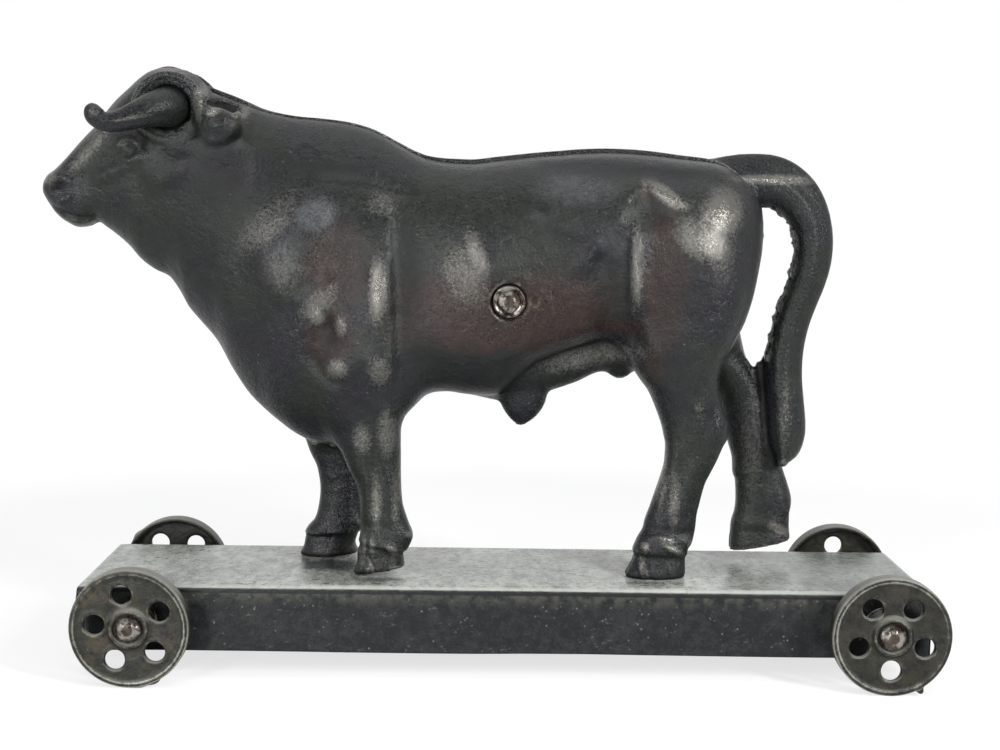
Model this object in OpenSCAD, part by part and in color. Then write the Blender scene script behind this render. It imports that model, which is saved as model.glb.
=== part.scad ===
// Cast-iron bull on a four-wheeled sheet-metal deck.
// X runs from the nose to the tail, Z is up, and the view from -Y shows the bull's left side.
// The origin is on the floor, under the middle of the whole object.

/* [Deck] */
// Length of the folded deck
deck_length = 340; // [300:5:380]
// Width over the two side skirts
deck_width = 80; // [76:1:90]
// Height of the folded skirts, measured over the top sheet
skirt_height = 27; // [22:1:30]
// Thickness of the sheet
sheet = 1.6; // [1:0.2:2.4]
// Outside radius of the folded edges
bend_radius = 3.2; // [2.6:0.2:5]
// Height of the deck's top above the axle centres
deck_over_axle = 14; // [12:0.5:16]
// Width of the slit left open at each folded corner
corner_slit = 0.8; // [0.4:0.2:1.6]

/* [Wheels] */
// Diameter of a wheel over its tread
wheel_diameter = 47; // [44:1:52]
// Width of the tread
tread_width = 8.5; // [7:0.5:10]
// Thickness of the wheel's web
web = 3.2; // [2.4:0.2:4]
// Thickness of the rim under the tread
rim = 2.4; // [2:0.2:3.2]
// Number of round holes through the web
hole_count = 5; // [4:1:6]
// Diameter of those holes
hole_diameter = 7.8; // [6:0.2:8.6]
// Diameter of the circle that the holes lie on
hole_circle = 27; // [26:0.5:29]
// Distance over the outer faces of two opposite wheels
track = 114; // [112:1:120]
// Distance between the two axles
wheelbase = 296; // [270:2:300]
// How far the middle of the wheelbase lies behind the middle of the deck
wheelbase_offset = 2; // [0:1:4]

/* [Axles] */
// Diameter of an axle rod
axle_diameter = 8; // [6:0.5:9]
// Radial running clearance between a rod and a wheel's bore
running_clearance = 0.06; // [0.04:0.01:0.1]
// Diameter of the peened heads that keep the wheels on
peened_head = 10.6; // [10:0.2:11.6]
// End float of a wheel between its washer and its peened head
end_float = 0.4; // [0.3:0.1:0.8]

/* [Bull] */
// Length of the near casting from nose to rump
casting_length = 294.8; // [288:0.4:300]
// How far the joint between the two castings lies behind the deck's middle
joint_offset = 3; // [0:1:4]
// Wall of the hollow castings
wall = 6; // [5:0.5:7]
// How far the far casting stands above the near one along the back
edge_step = 0.9; // [0:0.1:1.2]
// Diameter of the rivet that holds the castings together
rivet_diameter = 6.4; // [5:0.2:7]
// Diameter of the rivet's collars
collar_diameter = 13; // [11:0.5:14]

/* [Fixings] */
// Diameter of the screws that hold two of the hooves down
screw_diameter = 4; // [3:0.5:5]
// Length of those screws under the head
screw_length = 15; // [12:1:16]

/* [Hidden] */
$fn = 64;

iron = "#3d3b38";
horn_iron = "#45444a";
wheel_iron = "#5a5c56";
sheet_grey = "#a9aea7";
bare_steel = "#8a7768";

// The bull's stations are measured from a point this far in front of the deck's middle
bull_to_deck = 8;
nose_x = -182.8;
rump_x = 112;
k = casting_length / (rump_x - nose_x);
wheel_r = wheel_diameter / 2;
deck_z = wheel_r + deck_over_axle;
deck_x = ((bull_to_deck - nose_x) * k - wheelbase / 2 - wheelbase_offset - wheel_r) / 2;
bull_x = deck_x - bull_to_deck * k;
axle_mid_x = deck_x + wheelbase_offset;
axle_r = axle_diameter / 2;
bore_r = axle_r + running_clearance;
boss_proud = 1;
counterbore_depth = 1.8;
counterbore_wall = 1.2;
peened_head_length = 3.4;
hub_r = 7.6;
washer_thickness = 1.2;
washer_r = 8;
hub_length = track / 2 - deck_width / 2 - washer_thickness - end_float;

// The two fastened hooves, as places on the joint plane's frame
hind_hoof = [69, -17.5];
front_hoof = [-67, 17.5];
screw_r = screw_diameter / 2;
screw_washer_r = 5;
screw_washer_thickness = 1;
screw_head_r = screw_r + 2;
screw_head_step = 1.2;
screw_slot = 1;
screw_hole_gap = 0.2;
// How far the corner slits stop below the bends
slit_stop = 1.5;

// Rivet, horn and horn socket, as [x, z] above the deck
rivet_at = [7.4, 113];
horn_at = [-128.2, 187];
rivet_r = rivet_diameter / 2;
collar_r = collar_diameter / 2;
collar_thickness = 1.6;
collar_seat = 36;
collar_room = 0.6;
trunk_steps = 18;
leg_sides = 14;
leg_power = 0.86;
tail_sides = 12;
hollow_first = 8;
hollow_last = 44;
rivet_post_wall = 6;
rivet_head_r = 4.6;
rivet_head_top_r = 2.6;
rivet_head_height = 2.2;
socket_r = 12;
socket_root_r = 17;
socket_face = 23.5;
socket_recess_r = 9.4;
socket_recess = 3;
spigot_r = 5;
spigot_length = 11;
spigot_hole_end = 9;
spigot_start = 21.5;
fit_gap = 0.05;
past_joint = 2;

// Ear, eye and the two lobes under the belly, as a centre and three half widths
ear_at = [-109, -24, 180.4];
ear_size = [11, 6.5, 8.4];
ear_turn = [0, -8, 12];
ear_hollow_at = [0.5, -5.4, -0.6];
ear_hollow_size = [8, 4, 5.4];
eye_at = [-144.2, -18.6, 170.8];
eye_size = [4, 1.8, 2.8];
sheath_at = [14.4, 0, 69.5];
sheath_size = [10.6, 7.5, 10.4];
rear_lobe_at = [54.4, 0, 84];
rear_lobe_size = [5.2, 5, 4.6];

// Cross-sections of the head, neck and trunk, nose first. Each is
// [x, top, bottom, height of the widest place, half width, squareness above, squareness below].
trunk = [
    [-182.8, 156.4, 152.6, 154.5, 2.0, 2, 2],
    [-181.7, 158.8, 151.0, 154.5, 7.0, 2, 2],
    [-179.6, 160.6, 147.9, 154.0, 10.0, 2.1, 2.2],
    [-176.5, 163.5, 143.7, 153.0, 12.0, 2.2, 2.3],
    [-173.0, 167.2, 141.0, 152.5, 12.8, 2.2, 2.4],
    [-168.0, 173.0, 138.9, 153.0, 13.4, 2.2, 2.4],
    [-164.3, 177.0, 139.4, 154.5, 14.0, 2.2, 2.3],
    [-160.2, 181.2, 141.1, 157.0, 15.0, 2.2, 2.2],
    [-156.5, 186.2, 138.8, 160.0, 16.0, 2.2, 2.1],
    [-152.2, 191.1, 135.6, 163.0, 17.4, 2.3, 2],
    [-147.5, 195.2, 131.4, 166.0, 18.8, 2.5, 2],
    [-143.2, 199.0, 126.4, 168.0, 20.0, 2.7, 2],
    [-137.4, 202.8, 122.0, 169.0, 21.2, 2.9, 1.9],
    [-131.7, 204.1, 119.3, 167.0, 22.2, 2.9, 1.9],
    [-127.3, 203.2, 113.6, 163.0, 23.0, 2.8, 1.9],
    [-123.4, 200.9, 106.6, 158.0, 23.8, 2.6, 1.9],
    [-119.0, 197.7, 101.4, 153.0, 24.6, 2.3, 1.9],
    [-112.0, 194.7, 93.2, 146.0, 26.0, 2, 1.9],
    [-105.0, 192.1, 80.8, 139.0, 27.6, 1.9, 2],
    [-98.7, 189.5, 71.4, 132.0, 29.0, 1.9, 2],
    [-93.5, 187.3, 66.0, 127.0, 30.2, 1.8, 2],
    [-86.5, 185.5, 60.1, 122.0, 31.8, 1.8, 2.1],
    [-78.4, 184.3, 54.4, 118.0, 33.4, 1.8, 2.1],
    [-70.2, 183.7, 51.0, 116.0, 34.6, 1.8, 2.1],
    [-60.0, 182.6, 50.4, 115.0, 35.4, 1.8, 2.2],
    [-50.0, 180.2, 54.0, 114.0, 35.6, 1.8, 2.2],
    [-43.6, 177.4, 59.5, 114.0, 35.4, 1.8, 2.2],
    [-37.5, 174.1, 65.0, 114.0, 35.2, 1.9, 2.4],
    [-31.0, 170.6, 69.6, 114.0, 35.2, 2, 2.6],
    [-25.0, 168.4, 72.8, 115.0, 35.4, 2.1, 2.7],
    [-16.9, 167.3, 73.8, 116.0, 36.0, 2.2, 2.8],
    [-8.7, 167.0, 72.8, 117.0, 36.6, 2.3, 2.8],
    [2.0, 168.2, 72.4, 117.0, 37.0, 2.3, 2.8],
    [12.0, 169.4, 80.4, 119.0, 37.0, 2.3, 2.8],
    [19.0, 170.2, 86.4, 121.0, 36.8, 2.3, 2.8],
    [28.0, 171.0, 90.4, 123.0, 36.0, 2.3, 2.8],
    [37.0, 171.8, 94.3, 126.0, 35.0, 2.3, 2.7],
    [47.0, 172.2, 96.3, 129.0, 34.2, 2.3, 2.6],
    [56.5, 172.0, 93.2, 131.0, 34.0, 2.3, 2.4],
    [66.0, 171.4, 87.0, 132.0, 34.2, 2.2, 2.3],
    [77.4, 170.2, 83.0, 132.0, 34.2, 2.2, 2.2],
    [88.2, 169.2, 83.0, 132.0, 32.8, 2.1, 2.1],
    [96.4, 167.3, 90.8, 132.0, 29.8, 2.1, 2],
    [102.8, 163.0, 98.6, 133.0, 25.4, 2.1, 2],
    [106.6, 159.0, 107.8, 134.0, 20.8, 2.1, 2],
    [109.4, 155.4, 119.6, 137.0, 15.4, 2, 2],
    [111.2, 151.6, 129.6, 140.0, 9.8, 2, 2],
    [112.0, 146.2, 136.2, 141.0, 3.6, 2, 2]
];

// Lower belly between the flanks, narrower than the barrel above it
keel = [
    [-16.0, 110, 76.0, 96, 17, 2, 2],
    [-6.0, 110, 72.2, 95, 17, 2, 2],
    [4.6, 110, 69.8, 94, 16, 2, 2],
    [16.0, 110, 71.6, 94, 14, 2, 2],
    [26.6, 110, 74.3, 95, 13, 2, 2],
    [36.1, 112, 77.6, 97, 12, 2, 2],
    [47.2, 114, 82.2, 99, 12, 2, 2],
    [58.5, 114, 82.4, 99, 12, 2, 2],
    [68.0, 112, 86.0, 99, 10, 2, 2]
];

// Legs from the hoof up, as [height, front, back, half thickness, centre off the joint plane].
// The near ones belong to the near casting and the far ones to the far casting.
near_hind_leg = [
    [0, 57.2, 80.8, 8.2, 17.5], [2, 57.6, 81.4, 8.2, 17.5], [6.4, 59.3, 81.9, 8, 17.5],
    [9.4, 60, 82.2, 7.8, 17.5], [11.4, 60.1, 82.6, 8.4, 17.5], [14.8, 61.2, 84.2, 7.8, 17.5],
    [18.9, 63.2, 85.3, 7.6, 17.5], [25.2, 65.2, 85.8, 7.4, 17.5], [31.5, 67.6, 87.1, 7.4, 17.5],
    [39, 70.2, 89, 7.8, 17.5], [43.2, 71.4, 91, 8.2, 17.5], [48, 72.4, 93.3, 8.8, 17.6],
    [54.2, 72.3, 95.8, 9.2, 17.8], [58.6, 71.4, 97.8, 9.4, 18], [62.4, 70.5, 97.8, 9.8, 18],
    [70, 67.7, 95.2, 11, 18.2], [77, 64.4, 93.6, 12.6, 18.6], [81.2, 61.2, 93.1, 13.6, 19],
    [87, 57.6, 94.2, 14.8, 19], [96.4, 55, 98.4, 16, 19], [106, 55, 101.6, 16.4, 19],
    [119.8, 56, 103, 16, 18.6], [133, 60, 99, 13.6, 17.6], [142, 66, 92, 9, 16]
];
near_front_leg = [
    [0, -54, -32.8, 8.2, 17.5], [2, -53.7, -33, 8.2, 17.5], [5.2, -52.9, -34, 8, 17.5],
    [8, -53.1, -33.6, 7.8, 17.5], [10, -52.9, -32.6, 8.2, 17.5], [12.4, -52.2, -31, 8, 17.5],
    [15.6, -51.7, -30, 7.8, 17.5], [21.8, -51.5, -32.1, 7.4, 17.5], [30, -51.8, -34.5, 7.4, 17.5],
    [36.6, -53.3, -35, 7.8, 17.5], [44, -56.9, -35.2, 8.6, 17.6], [49.7, -59.2, -35.2, 9, 17.8],
    [53.4, -60.8, -35.3, 9.4, 18], [58.7, -62.6, -35.3, 10.2, 18.2], [64, -65.4, -34.2, 11.4, 18.6],
    [71, -68.4, -29.6, 13, 19], [80, -71, -26.5, 15, 19.4], [92, -73, -27, 16.4, 19.4],
    [106, -72, -34, 14.4, 19], [118, -68, -40, 11, 18], [128, -62, -48, 7, 17]
];
far_front_leg = [
    [0, -79, -55.2, 8.2, 17.5], [2, -78.6, -55.4, 8.2, 17.5], [5.2, -77.7, -56.1, 8, 17.5],
    [8, -77.7, -55.2, 7.8, 17.5], [10, -77.2, -54, 8.2, 17.5], [12.4, -76.2, -53, 8, 17.5],
    [15.6, -73.4, -52.4, 7.8, 17.5], [21.4, -71.7, -52.6, 7.4, 17.5], [28.2, -71, -53, 7.4, 17.5],
    [37.4, -72.2, -53, 7.8, 17.5], [45, -75.6, -52.6, 8.6, 17.6], [48.6, -76.9, -52.2, 9.2, 17.8],
    [58, -80, -49, 11, 18.4], [70, -82, -44, 13.4, 19], [82, -83, -40, 15.4, 19.4],
    [95, -82, -38, 16.2, 19.4], [108, -77, -40, 14.4, 19], [119, -71, -44, 11, 18],
    [129, -64, -50, 7, 17]
];
far_hind_leg = [
    [4.2, 105.3, 129.8, 8.2, 17.5], [7, 105, 130.2, 8.2, 17.5], [10.4, 104.9, 130.4, 8, 17.5],
    [13.4, 105.1, 130.3, 7.8, 17.5], [16.9, 105.5, 130.3, 8.2, 17.5], [21.2, 106.7, 130.3, 7.8, 17.5],
    [25.5, 107.1, 131, 7.8, 17.5], [34.6, 106.6, 128.7, 7.6, 17.5], [37.8, 105.4, 127.5, 7.6, 17.5],
    [43.4, 105.1, 125.8, 7.8, 17.5], [50.1, 103.3, 124.4, 8.4, 17.6], [56.2, 101.5, 123.1, 9, 17.8],
    [69.1, 98, 119.8, 10.6, 18.2], [82.3, 90, 112.9, 12.8, 18.6], [87, 84, 109.9, 14, 19],
    [96.4, 74, 107.2, 15.4, 19], [106, 68, 105, 16.2, 19], [119.8, 66, 103, 16, 18.6],
    [133, 66, 98, 13.6, 17.6], [142, 70, 92, 9, 16]
];

// How steeply the soles of the two lifted hooves rise towards the heel, and the height at which the tilt has gone
near_heel_lift = 0.13;
far_heel_lift = 0.26;
tilt_end = 12;

// Tail of the far casting, as [x, z, half width across the sweep, half thickness], and how far its centre line
// lies behind the joint plane
tail = [
    [84, 158, 9, 8], [93, 160.4, 10.6, 8], [102, 161.8, 11.2, 8], [111, 162.4, 11.2, 8],
    [117.5, 161.8, 11, 7.8], [123, 159.4, 10.6, 7.6], [128, 155.2, 10, 7.4],
    [131.8, 149.6, 9.2, 7.2], [134.2, 143, 8.6, 7], [135.2, 136, 8.3, 7],
    [134.8, 128.6, 8.1, 6.8], [133, 121, 7.9, 6.6], [130.4, 113.4, 7.6, 6.4],
    [127.6, 105.4, 7.6, 6.4], [125.7, 97.4, 7.6, 6.4], [124.6, 89, 7.7, 6.6],
    [124.4, 80, 7.9, 6.8], [125.2, 71, 8, 7], [126.3, 62, 8, 6.8],
    [126.6, 55, 7.6, 6.2], [125.9, 49, 6, 5], [124.6, 44.6, 2.6, 2.6]
];

tail_off = 8.2;

// Near horn, as [x, distance off the joint plane, z, radius], from its base to its ball tip
horn = [
    [-128.2, 20.5, 187, 8], [-128.2, 23.8, 187, 8], [-129.5, 27.5, 186.8, 7.8],
    [-132.6, 31.5, 186, 7.1], [-136.8, 34.6, 184.6, 6.1], [-141, 36.6, 182.6, 5.2],
    [-145, 37.9, 181, 4.5], [-148.6, 38.6, 180.4, 4], [-151.4, 39, 181.2, 3.7],
    [-153.4, 39.1, 183, 3.8], [-154.3, 39.1, 185.2, 3.4], [-154.5, 39.1, 187, 1.6]
];

// Half of a cross-section, from its top round the side to its bottom. Its two ends run on past the joint plane,
// where each casting is cut off flat.
function half_ring(s, steps) = [
    [s[0], past_joint, s[1]],
    for (i = [0:steps])
        let (
            turn = 180 * i / steps,
            above = turn < 90,
            reach = above ? s[1] - s[3] : s[3] - s[2],
            power = 2 / (above ? s[5] : s[6]),
            level = sign(cos(turn)) * pow(abs(cos(turn)), power)
        )
        [s[0], -s[4] * pow(abs(sin(turn)), power), s[3] + reach * level],
    [s[0], past_joint, s[2]]
];

// Whole cross-section of a leg, a rounded rectangle that tips up towards the heel near the ground
function leg_ring(s, steps, lift) = [
    for (i = [0:steps - 1])
        let (
            turn = 360 * i / steps,
            across = sign(cos(turn)) * pow(abs(cos(turn)), leg_power),
            out = sign(sin(turn)) * pow(abs(sin(turn)), leg_power),
            x = (s[1] + s[2]) / 2 + across * (s[2] - s[1]) / 2,
            tip = lift * (x - s[1]) * max(0, 1 - s[0] / tilt_end)
        )
        [x, -s[4] + out * s[3], s[0] + tip]
];

// Ring of a swept limb, square to the way from one station to the next in the X-Z plane
function sweep_ring(path, i, steps) =
    let (
        a = path[max(0, i - 1)],
        b = path[min(len(path) - 1, i + 1)],
        run = [b[0] - a[0], b[1] - a[1]] / norm([b[0] - a[0], b[1] - a[1]]),
        s = path[i]
    )
    [
        for (j = [0:steps - 1])
            let (turn = -360 * j / steps)
            [
                s[0] - run[1] * s[2] * cos(turn),
                tail_off + s[3] * sin(turn),
                s[1] + run[0] * s[2] * cos(turn)
            ]
    ];

// Round ring square to the way that a path in space runs
function tube_ring(path, i, steps) =
    let (
        a = path[max(0, i - 1)],
        b = path[min(len(path) - 1, i + 1)],
        way = [b[0] - a[0], b[1] - a[1], b[2] - a[2]],
        run = way / norm(way),
        up = [0, 0, 1],
        flat = cross(up, run),
        u = flat / norm(flat),
        v = cross(run, u),
        s = path[i]
    )
    [
        for (j = [0:steps - 1])
            let (turn = -360 * j / steps)
            [s[0], s[1], s[2]] + s[3] * (u * cos(turn) + v * sin(turn))
    ];

tail_reach = max([for (i = [0:len(tail) - 1], p = sweep_ring(tail, i, tail_sides)) p[0]]);

// Closed skin over a row of rings that each have the same number of points
module skin(rings) {
    n = len(rings[0]);
    last = len(rings) - 1;
    sides = [
        for (r = [0:last - 1], i = [0:n - 1])
            let (
                a = r * n + i,
                b = r * n + (i + 1) % n,
                c = (r + 1) * n + (i + 1) % n,
                d = (r + 1) * n + i
            )
            each [[a, c, b], [a, d, c]]
    ];
    caps = [
        for (i = [1:n - 2])
            each [[0, i, i + 1], [last * n, last * n + i + 1, last * n + i]]
    ];
    polyhedron(points = [for (ring = rings) each ring], faces = concat(sides, caps), convexity = 8);
}

// Solid form of one side of the head, neck and trunk. step raises its back edge.
module trunk_form(step) {
    rings = [
        for (s = trunk)
            half_ring([s[0], s[1] + step, s[2], s[3], s[4], s[5], s[6]], trunk_steps)
    ];
    skin(rings);
}

// Hollow inside one casting, a wall thickness within its skin
module trunk_hollow() {
    rings = [
        for (i = [hollow_first:2:hollow_last])
            let (s = trunk[i])
            half_ring([s[0], s[1] - wall, s[2] + wall, s[3], max(s[4] - wall, 4), s[5], s[6]], 12)
    ];
    skin(rings);
}

module keel_form() {
    skin([for (s = keel) half_ring(s, 8)]);
}

module leg_form(stations, lift) {
    skin([for (s = stations) leg_ring(s, leg_sides, lift)]);
}

module tail_form() {
    skin([for (i = [0:len(tail) - 1]) sweep_ring(tail, i, tail_sides)]);
}

// Pointed ear lying back from the horn, with a hollow front
module ear_form() {
    translate(ear_at)
        rotate(ear_turn)
            difference() {
                scale(ear_size)
                    sphere(r = 1, $fn = 20);
                translate(ear_hollow_at)
                    scale(ear_hollow_size)
                        sphere(r = 1, $fn = 16);
            }
}

module eye_form() {
    translate(eye_at)
        scale(eye_size)
            sphere(r = 1, $fn = 16);
}

// Lobe under the belly, cut in two by the joint plane
module sheath_form() {
    translate(sheath_at)
        scale(sheath_size)
            sphere(r = 1, $fn = 24);
}

module rear_lobe_form() {
    translate(rear_lobe_at)
        scale(rear_lobe_size)
            sphere(r = 1, $fn = 16);
}

// Raised round socket that widens into the head
module horn_socket_form() {
    translate([horn_at[0], -socket_face, horn_at[1]])
        rotate([-90, 0, 0])
            cylinder(r1 = socket_r - 1, r2 = socket_r, h = 1.4, $fn = 40);
    translate([horn_at[0], 1.4 - socket_face, horn_at[1]])
        rotate([-90, 0, 0])
            cylinder(r1 = socket_r, r2 = socket_root_r, h = 14, $fn = 40);
}

// Post inside the hollow that the rivet pulls up tight
module rivet_post_form() {
    translate([rivet_at[0], 2 * past_joint, rivet_at[1]])
        rotate([90, 0, 0])
            cylinder(r = rivet_r + rivet_post_wall, h = collar_seat, $fn = 32);
}

// Flat seat that a rivet collar bears on
module collar_seat_form() {
    translate([rivet_at[0], -collar_seat, rivet_at[1]])
        rotate([-90, 0, 0])
            cylinder(r = collar_r + collar_room, h = 4, $fn = 32);
}

// Everything in one casting but its drilled holes, drawn on the near side
module casting(legs, lifts, step) {
    intersection() {
        difference() {
            union() {
                trunk_form(step);
                keel_form();
                sheath_form();
                rear_lobe_form();
                ear_form();
                eye_form();
                horn_socket_form();
                collar_seat_form();
                leg_form(legs[0], lifts[0]);
                leg_form(legs[1], lifts[1]);
            }
            difference() {
                trunk_hollow();
                rivet_post_form();
            }
        }
        translate([-200, -60, -10])
            cube([400, 60, 230]);
    }
}

// Holes for the rivet and the horn's spigot, the seat of the collar, and the recess round the horn's base
module casting_holes() {
    translate([rivet_at[0] * k, -50, rivet_at[1] * k])
        rotate([-90, 0, 0]) {
            cylinder(r = rivet_r + fit_gap, h = 60);
            cylinder(r = collar_r + collar_room, h = 50 - collar_seat * k);
        }
    translate([horn_at[0] * k, -socket_face * k - 1, horn_at[1] * k])
        rotate([-90, 0, 0])
            cylinder(r = socket_recess_r, h = socket_recess * k + 1);
    translate([horn_at[0] * k, -socket_face * k - 1, horn_at[1] * k])
        rotate([-90, 0, 0])
            cylinder(r = spigot_r + fit_gap, h = (socket_face - spigot_hole_end) * k + 1);
}

module screw_hole(place) {
    translate([place[0] * k, place[1] * k, -1])
        cylinder(r = screw_r + fit_gap, h = screw_length + 1);
}

module on_deck() {
    translate([bull_x, joint_offset, deck_z])
        children();
}

module bull_near_half() {
    color(iron)
        on_deck()
            difference() {
                resize([k * (rump_x - nose_x), 0, 0], auto = true)
                    casting([near_front_leg, near_hind_leg], [near_heel_lift, 0], 0);
                casting_holes();
                screw_hole(hind_hoof);
            }
}

module bull_far_half() {
    color(iron)
        on_deck()
            difference() {
                resize([k * (tail_reach - nose_x), 0, 0], auto = true)
                    union() {
                        mirror([0, 1, 0])
                            casting([far_front_leg, far_hind_leg], [0, far_heel_lift], edge_step);
                        tail_form();
                    }
                mirror([0, 1, 0])
                    casting_holes();
                screw_hole(front_hoof);
            }
}

// Horn with a round base and a spigot that goes into the head
module horn_form() {
    scale([k, k, k])
        skin([for (i = [0:len(horn) - 1])
            [for (p = tube_ring(horn, i, 16)) [p[0], -p[1], p[2]]]]);
    translate([horn_at[0] * k, -spigot_start * k, horn_at[1] * k])
        rotate([-90, 0, 0])
            cylinder(r = spigot_r, h = spigot_length * k);
}

module near_horn() {
    color(horn_iron)
        on_deck()
            horn_form();
}

module far_horn() {
    color(horn_iron)
        on_deck()
            mirror([0, 1, 0])
                horn_form();
}

// Rivet along Y through both castings, with a domed head at each end
module tie_rivet() {
    seat = collar_seat * k + collar_thickness;
    color(bare_steel)
        on_deck()
            translate([rivet_at[0] * k, -seat, rivet_at[1] * k])
                rotate([-90, 0, 0]) {
                    cylinder(r = rivet_r, h = 2 * seat);
                    translate([0, 0, -rivet_head_height])
                        cylinder(r1 = rivet_head_top_r, r2 = rivet_head_r, h = rivet_head_height);
                    translate([0, 0, 2 * seat])
                        cylinder(r1 = rivet_head_r, r2 = rivet_head_top_r, h = rivet_head_height);
                }
}

module collar(side) {
    start = side < 0 ? -collar_seat * k - collar_thickness : collar_seat * k;
    color(bare_steel)
        on_deck()
            translate([rivet_at[0] * k, start, rivet_at[1] * k])
                rotate([-90, 0, 0])
                    difference() {
                        cylinder(r = collar_r, h = collar_thickness);
                        translate([0, 0, -1])
                            cylinder(r = rivet_r + fit_gap, h = collar_thickness + 2);
                    }
}

module near_collar() {
    collar(-1);
}

module far_collar() {
    collar(1);
}

// Cross-section of the deck with its two top corners rounded, standing on y = 0
module fold_profile(width, height, r) {
    translate([-width / 2, 0])
        square([width, height - r]);
    translate([-width / 2 + r, 0])
        square([width - 2 * r, height]);
    for (side = [-1, 1])
        translate([side * (width / 2 - r), height - r])
            circle(r = r);
}

// Block whose four upper edges are rounded, as the folded sheet is
module fold_block(length, width, height, r) {
    intersection() {
        rotate([90, 0, 90])
            linear_extrude(length, center = true)
                fold_profile(width, height, r);
        rotate([90, 0, 0])
            linear_extrude(width + 2, center = true)
                fold_profile(length, height, r);
    }
}

module deck() {
    color(sheet_grey)
        translate([deck_x, 0, deck_z - skirt_height])
            difference() {
                fold_block(deck_length, deck_width, skirt_height, bend_radius);
                translate([0, 0, -1])
                    fold_block(
                        deck_length - 2 * sheet,
                        deck_width - 2 * sheet,
                        skirt_height - sheet + 1,
                        bend_radius - sheet
                    );
                for (sx = [-1, 1], sy = [-1, 1])
                    translate([sx * deck_length / 2, sy * deck_width / 2, -1])
                        rotate([0, 0, sx * sy * 45])
                            translate([-6, -corner_slit / 2, 0])
                                cube([12, corner_slit, skirt_height - bend_radius - slit_stop + 1]);
                for (end = [-1, 1])
                    translate([
                        wheelbase_offset + end * wheelbase / 2,
                        -deck_width / 2 - 1,
                        skirt_height - deck_over_axle
                    ])
                        rotate([-90, 0, 0])
                            cylinder(r = axle_r + fit_gap, h = deck_width + 2);
                for (hoof = [hind_hoof, front_hoof])
                    translate([(hoof[0] - bull_to_deck) * k, hoof[1] * k + joint_offset, 0])
                        cylinder(r = screw_r + screw_hole_gap, h = skirt_height + 1);
            }
}

// Rod across the deck, peened over at both ends
module axle(end) {
    floor_y = track / 2 + boss_proud - counterbore_depth + end_float / 2;
    half_head = peened_head_length / 2;
    color(bare_steel)
        translate([axle_mid_x + end * wheelbase / 2, 0, wheel_r])
            rotate([90, 0, 0]) {
                cylinder(r = axle_r, h = 2 * floor_y, center = true);
                for (side = [0, 1])
                    mirror([0, 0, side])
                        translate([0, 0, floor_y]) {
                            cylinder(r = peened_head / 2, h = half_head);
                            translate([0, 0, half_head])
                                cylinder(r1 = peened_head / 2, r2 = peened_head * 0.34, h = half_head);
                        }
            }
}

module front_axle() {
    axle(-1);
}

module rear_axle() {
    axle(1);
}

// Dished wheel about Z, with its outer face up at z = 0
module wheel_form() {
    spoke_turn = 360 / hole_count;
    difference() {
        union() {
            rotate_extrude($fn = 96)
                polygon([
                    [0, -web], [wheel_r - rim, -web - 0.8], [wheel_r - rim, -tread_width],
                    [wheel_r - 0.6, -tread_width], [wheel_r, -tread_width + 0.6], [wheel_r, -1.4],
                    [wheel_r - 1.4, 0], [wheel_r - 3.4, 0], [wheel_r - 4.2, -0.5], [0, -0.5]
                ]);
            translate([0, 0, -web])
                cylinder(r = hub_r, h = web + boss_proud);
            translate([0, 0, -hub_length])
                cylinder(r = hub_r, h = hub_length);
        }
        translate([0, 0, -hub_length - 1])
            cylinder(r = bore_r, h = hub_length + boss_proud + 2);
        translate([0, 0, boss_proud - counterbore_depth])
            cylinder(r = hub_r - counterbore_wall, h = counterbore_depth + 1);
        for (i = [0:hole_count - 1])
            rotate([0, 0, i * spoke_turn])
                translate([hole_circle / 2, 0, -web - 3])
                    cylinder(r = hole_diameter / 2, h = web + 4);
    }
}

// end is -1 at the head and 1 at the tail, side is -1 near and 1 far
module wheel(end, side, turn) {
    color(wheel_iron)
        translate([axle_mid_x + end * wheelbase / 2, side * track / 2, wheel_r])
            rotate([-side * 90, 0, 0])
                rotate([0, 0, turn])
                    wheel_form();
}

module wheel_front_near() {
    wheel(-1, -1, 102);
}

module wheel_front_far() {
    wheel(-1, 1, 20);
}

module wheel_rear_near() {
    wheel(1, -1, 126);
}

module wheel_rear_far() {
    wheel(1, 1, 50);
}

module axle_washer(end, side) {
    color(bare_steel)
        translate([axle_mid_x + end * wheelbase / 2, side * (deck_width / 2 + washer_thickness / 2), wheel_r])
            rotate([90, 0, 0])
                difference() {
                    cylinder(r = washer_r, h = washer_thickness, center = true);
                    cylinder(r = axle_r + fit_gap, h = washer_thickness + 1, center = true);
                }
}

module washer_front_near() {
    axle_washer(-1, -1);
}

module washer_front_far() {
    axle_washer(-1, 1);
}

module washer_rear_near() {
    axle_washer(1, -1);
}

module washer_rear_far() {
    axle_washer(1, 1);
}

// Round-headed screw up through the deck into a hoof
module hoof_screw(hoof) {
    color(bare_steel)
        translate([bull_x + hoof[0] * k, joint_offset + hoof[1] * k, deck_z - sheet - screw_washer_thickness])
            difference() {
                union() {
                    cylinder(r = screw_r, h = screw_length);
                    translate([0, 0, -screw_head_step])
                        cylinder(r = screw_head_r, h = screw_head_step);
                    translate([0, 0, -2 * screw_head_step])
                        cylinder(r1 = screw_head_r - 1, r2 = screw_head_r, h = screw_head_step);
                }
                translate([-screw_head_r - 1, -screw_slot / 2, -2 * screw_head_step - 1])
                    cube([2 * screw_head_r + 2, screw_slot, 2]);
            }
}

module hind_hoof_screw() {
    hoof_screw(hind_hoof);
}

module front_hoof_screw() {
    hoof_screw(front_hoof);
}

module hoof_washer(hoof) {
    color(bare_steel)
        translate([bull_x + hoof[0] * k, joint_offset + hoof[1] * k, deck_z - sheet - screw_washer_thickness])
            difference() {
                cylinder(r = screw_washer_r, h = screw_washer_thickness);
                translate([0, 0, -1])
                    cylinder(r = screw_r + fit_gap, h = screw_washer_thickness + 2);
            }
}

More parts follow.
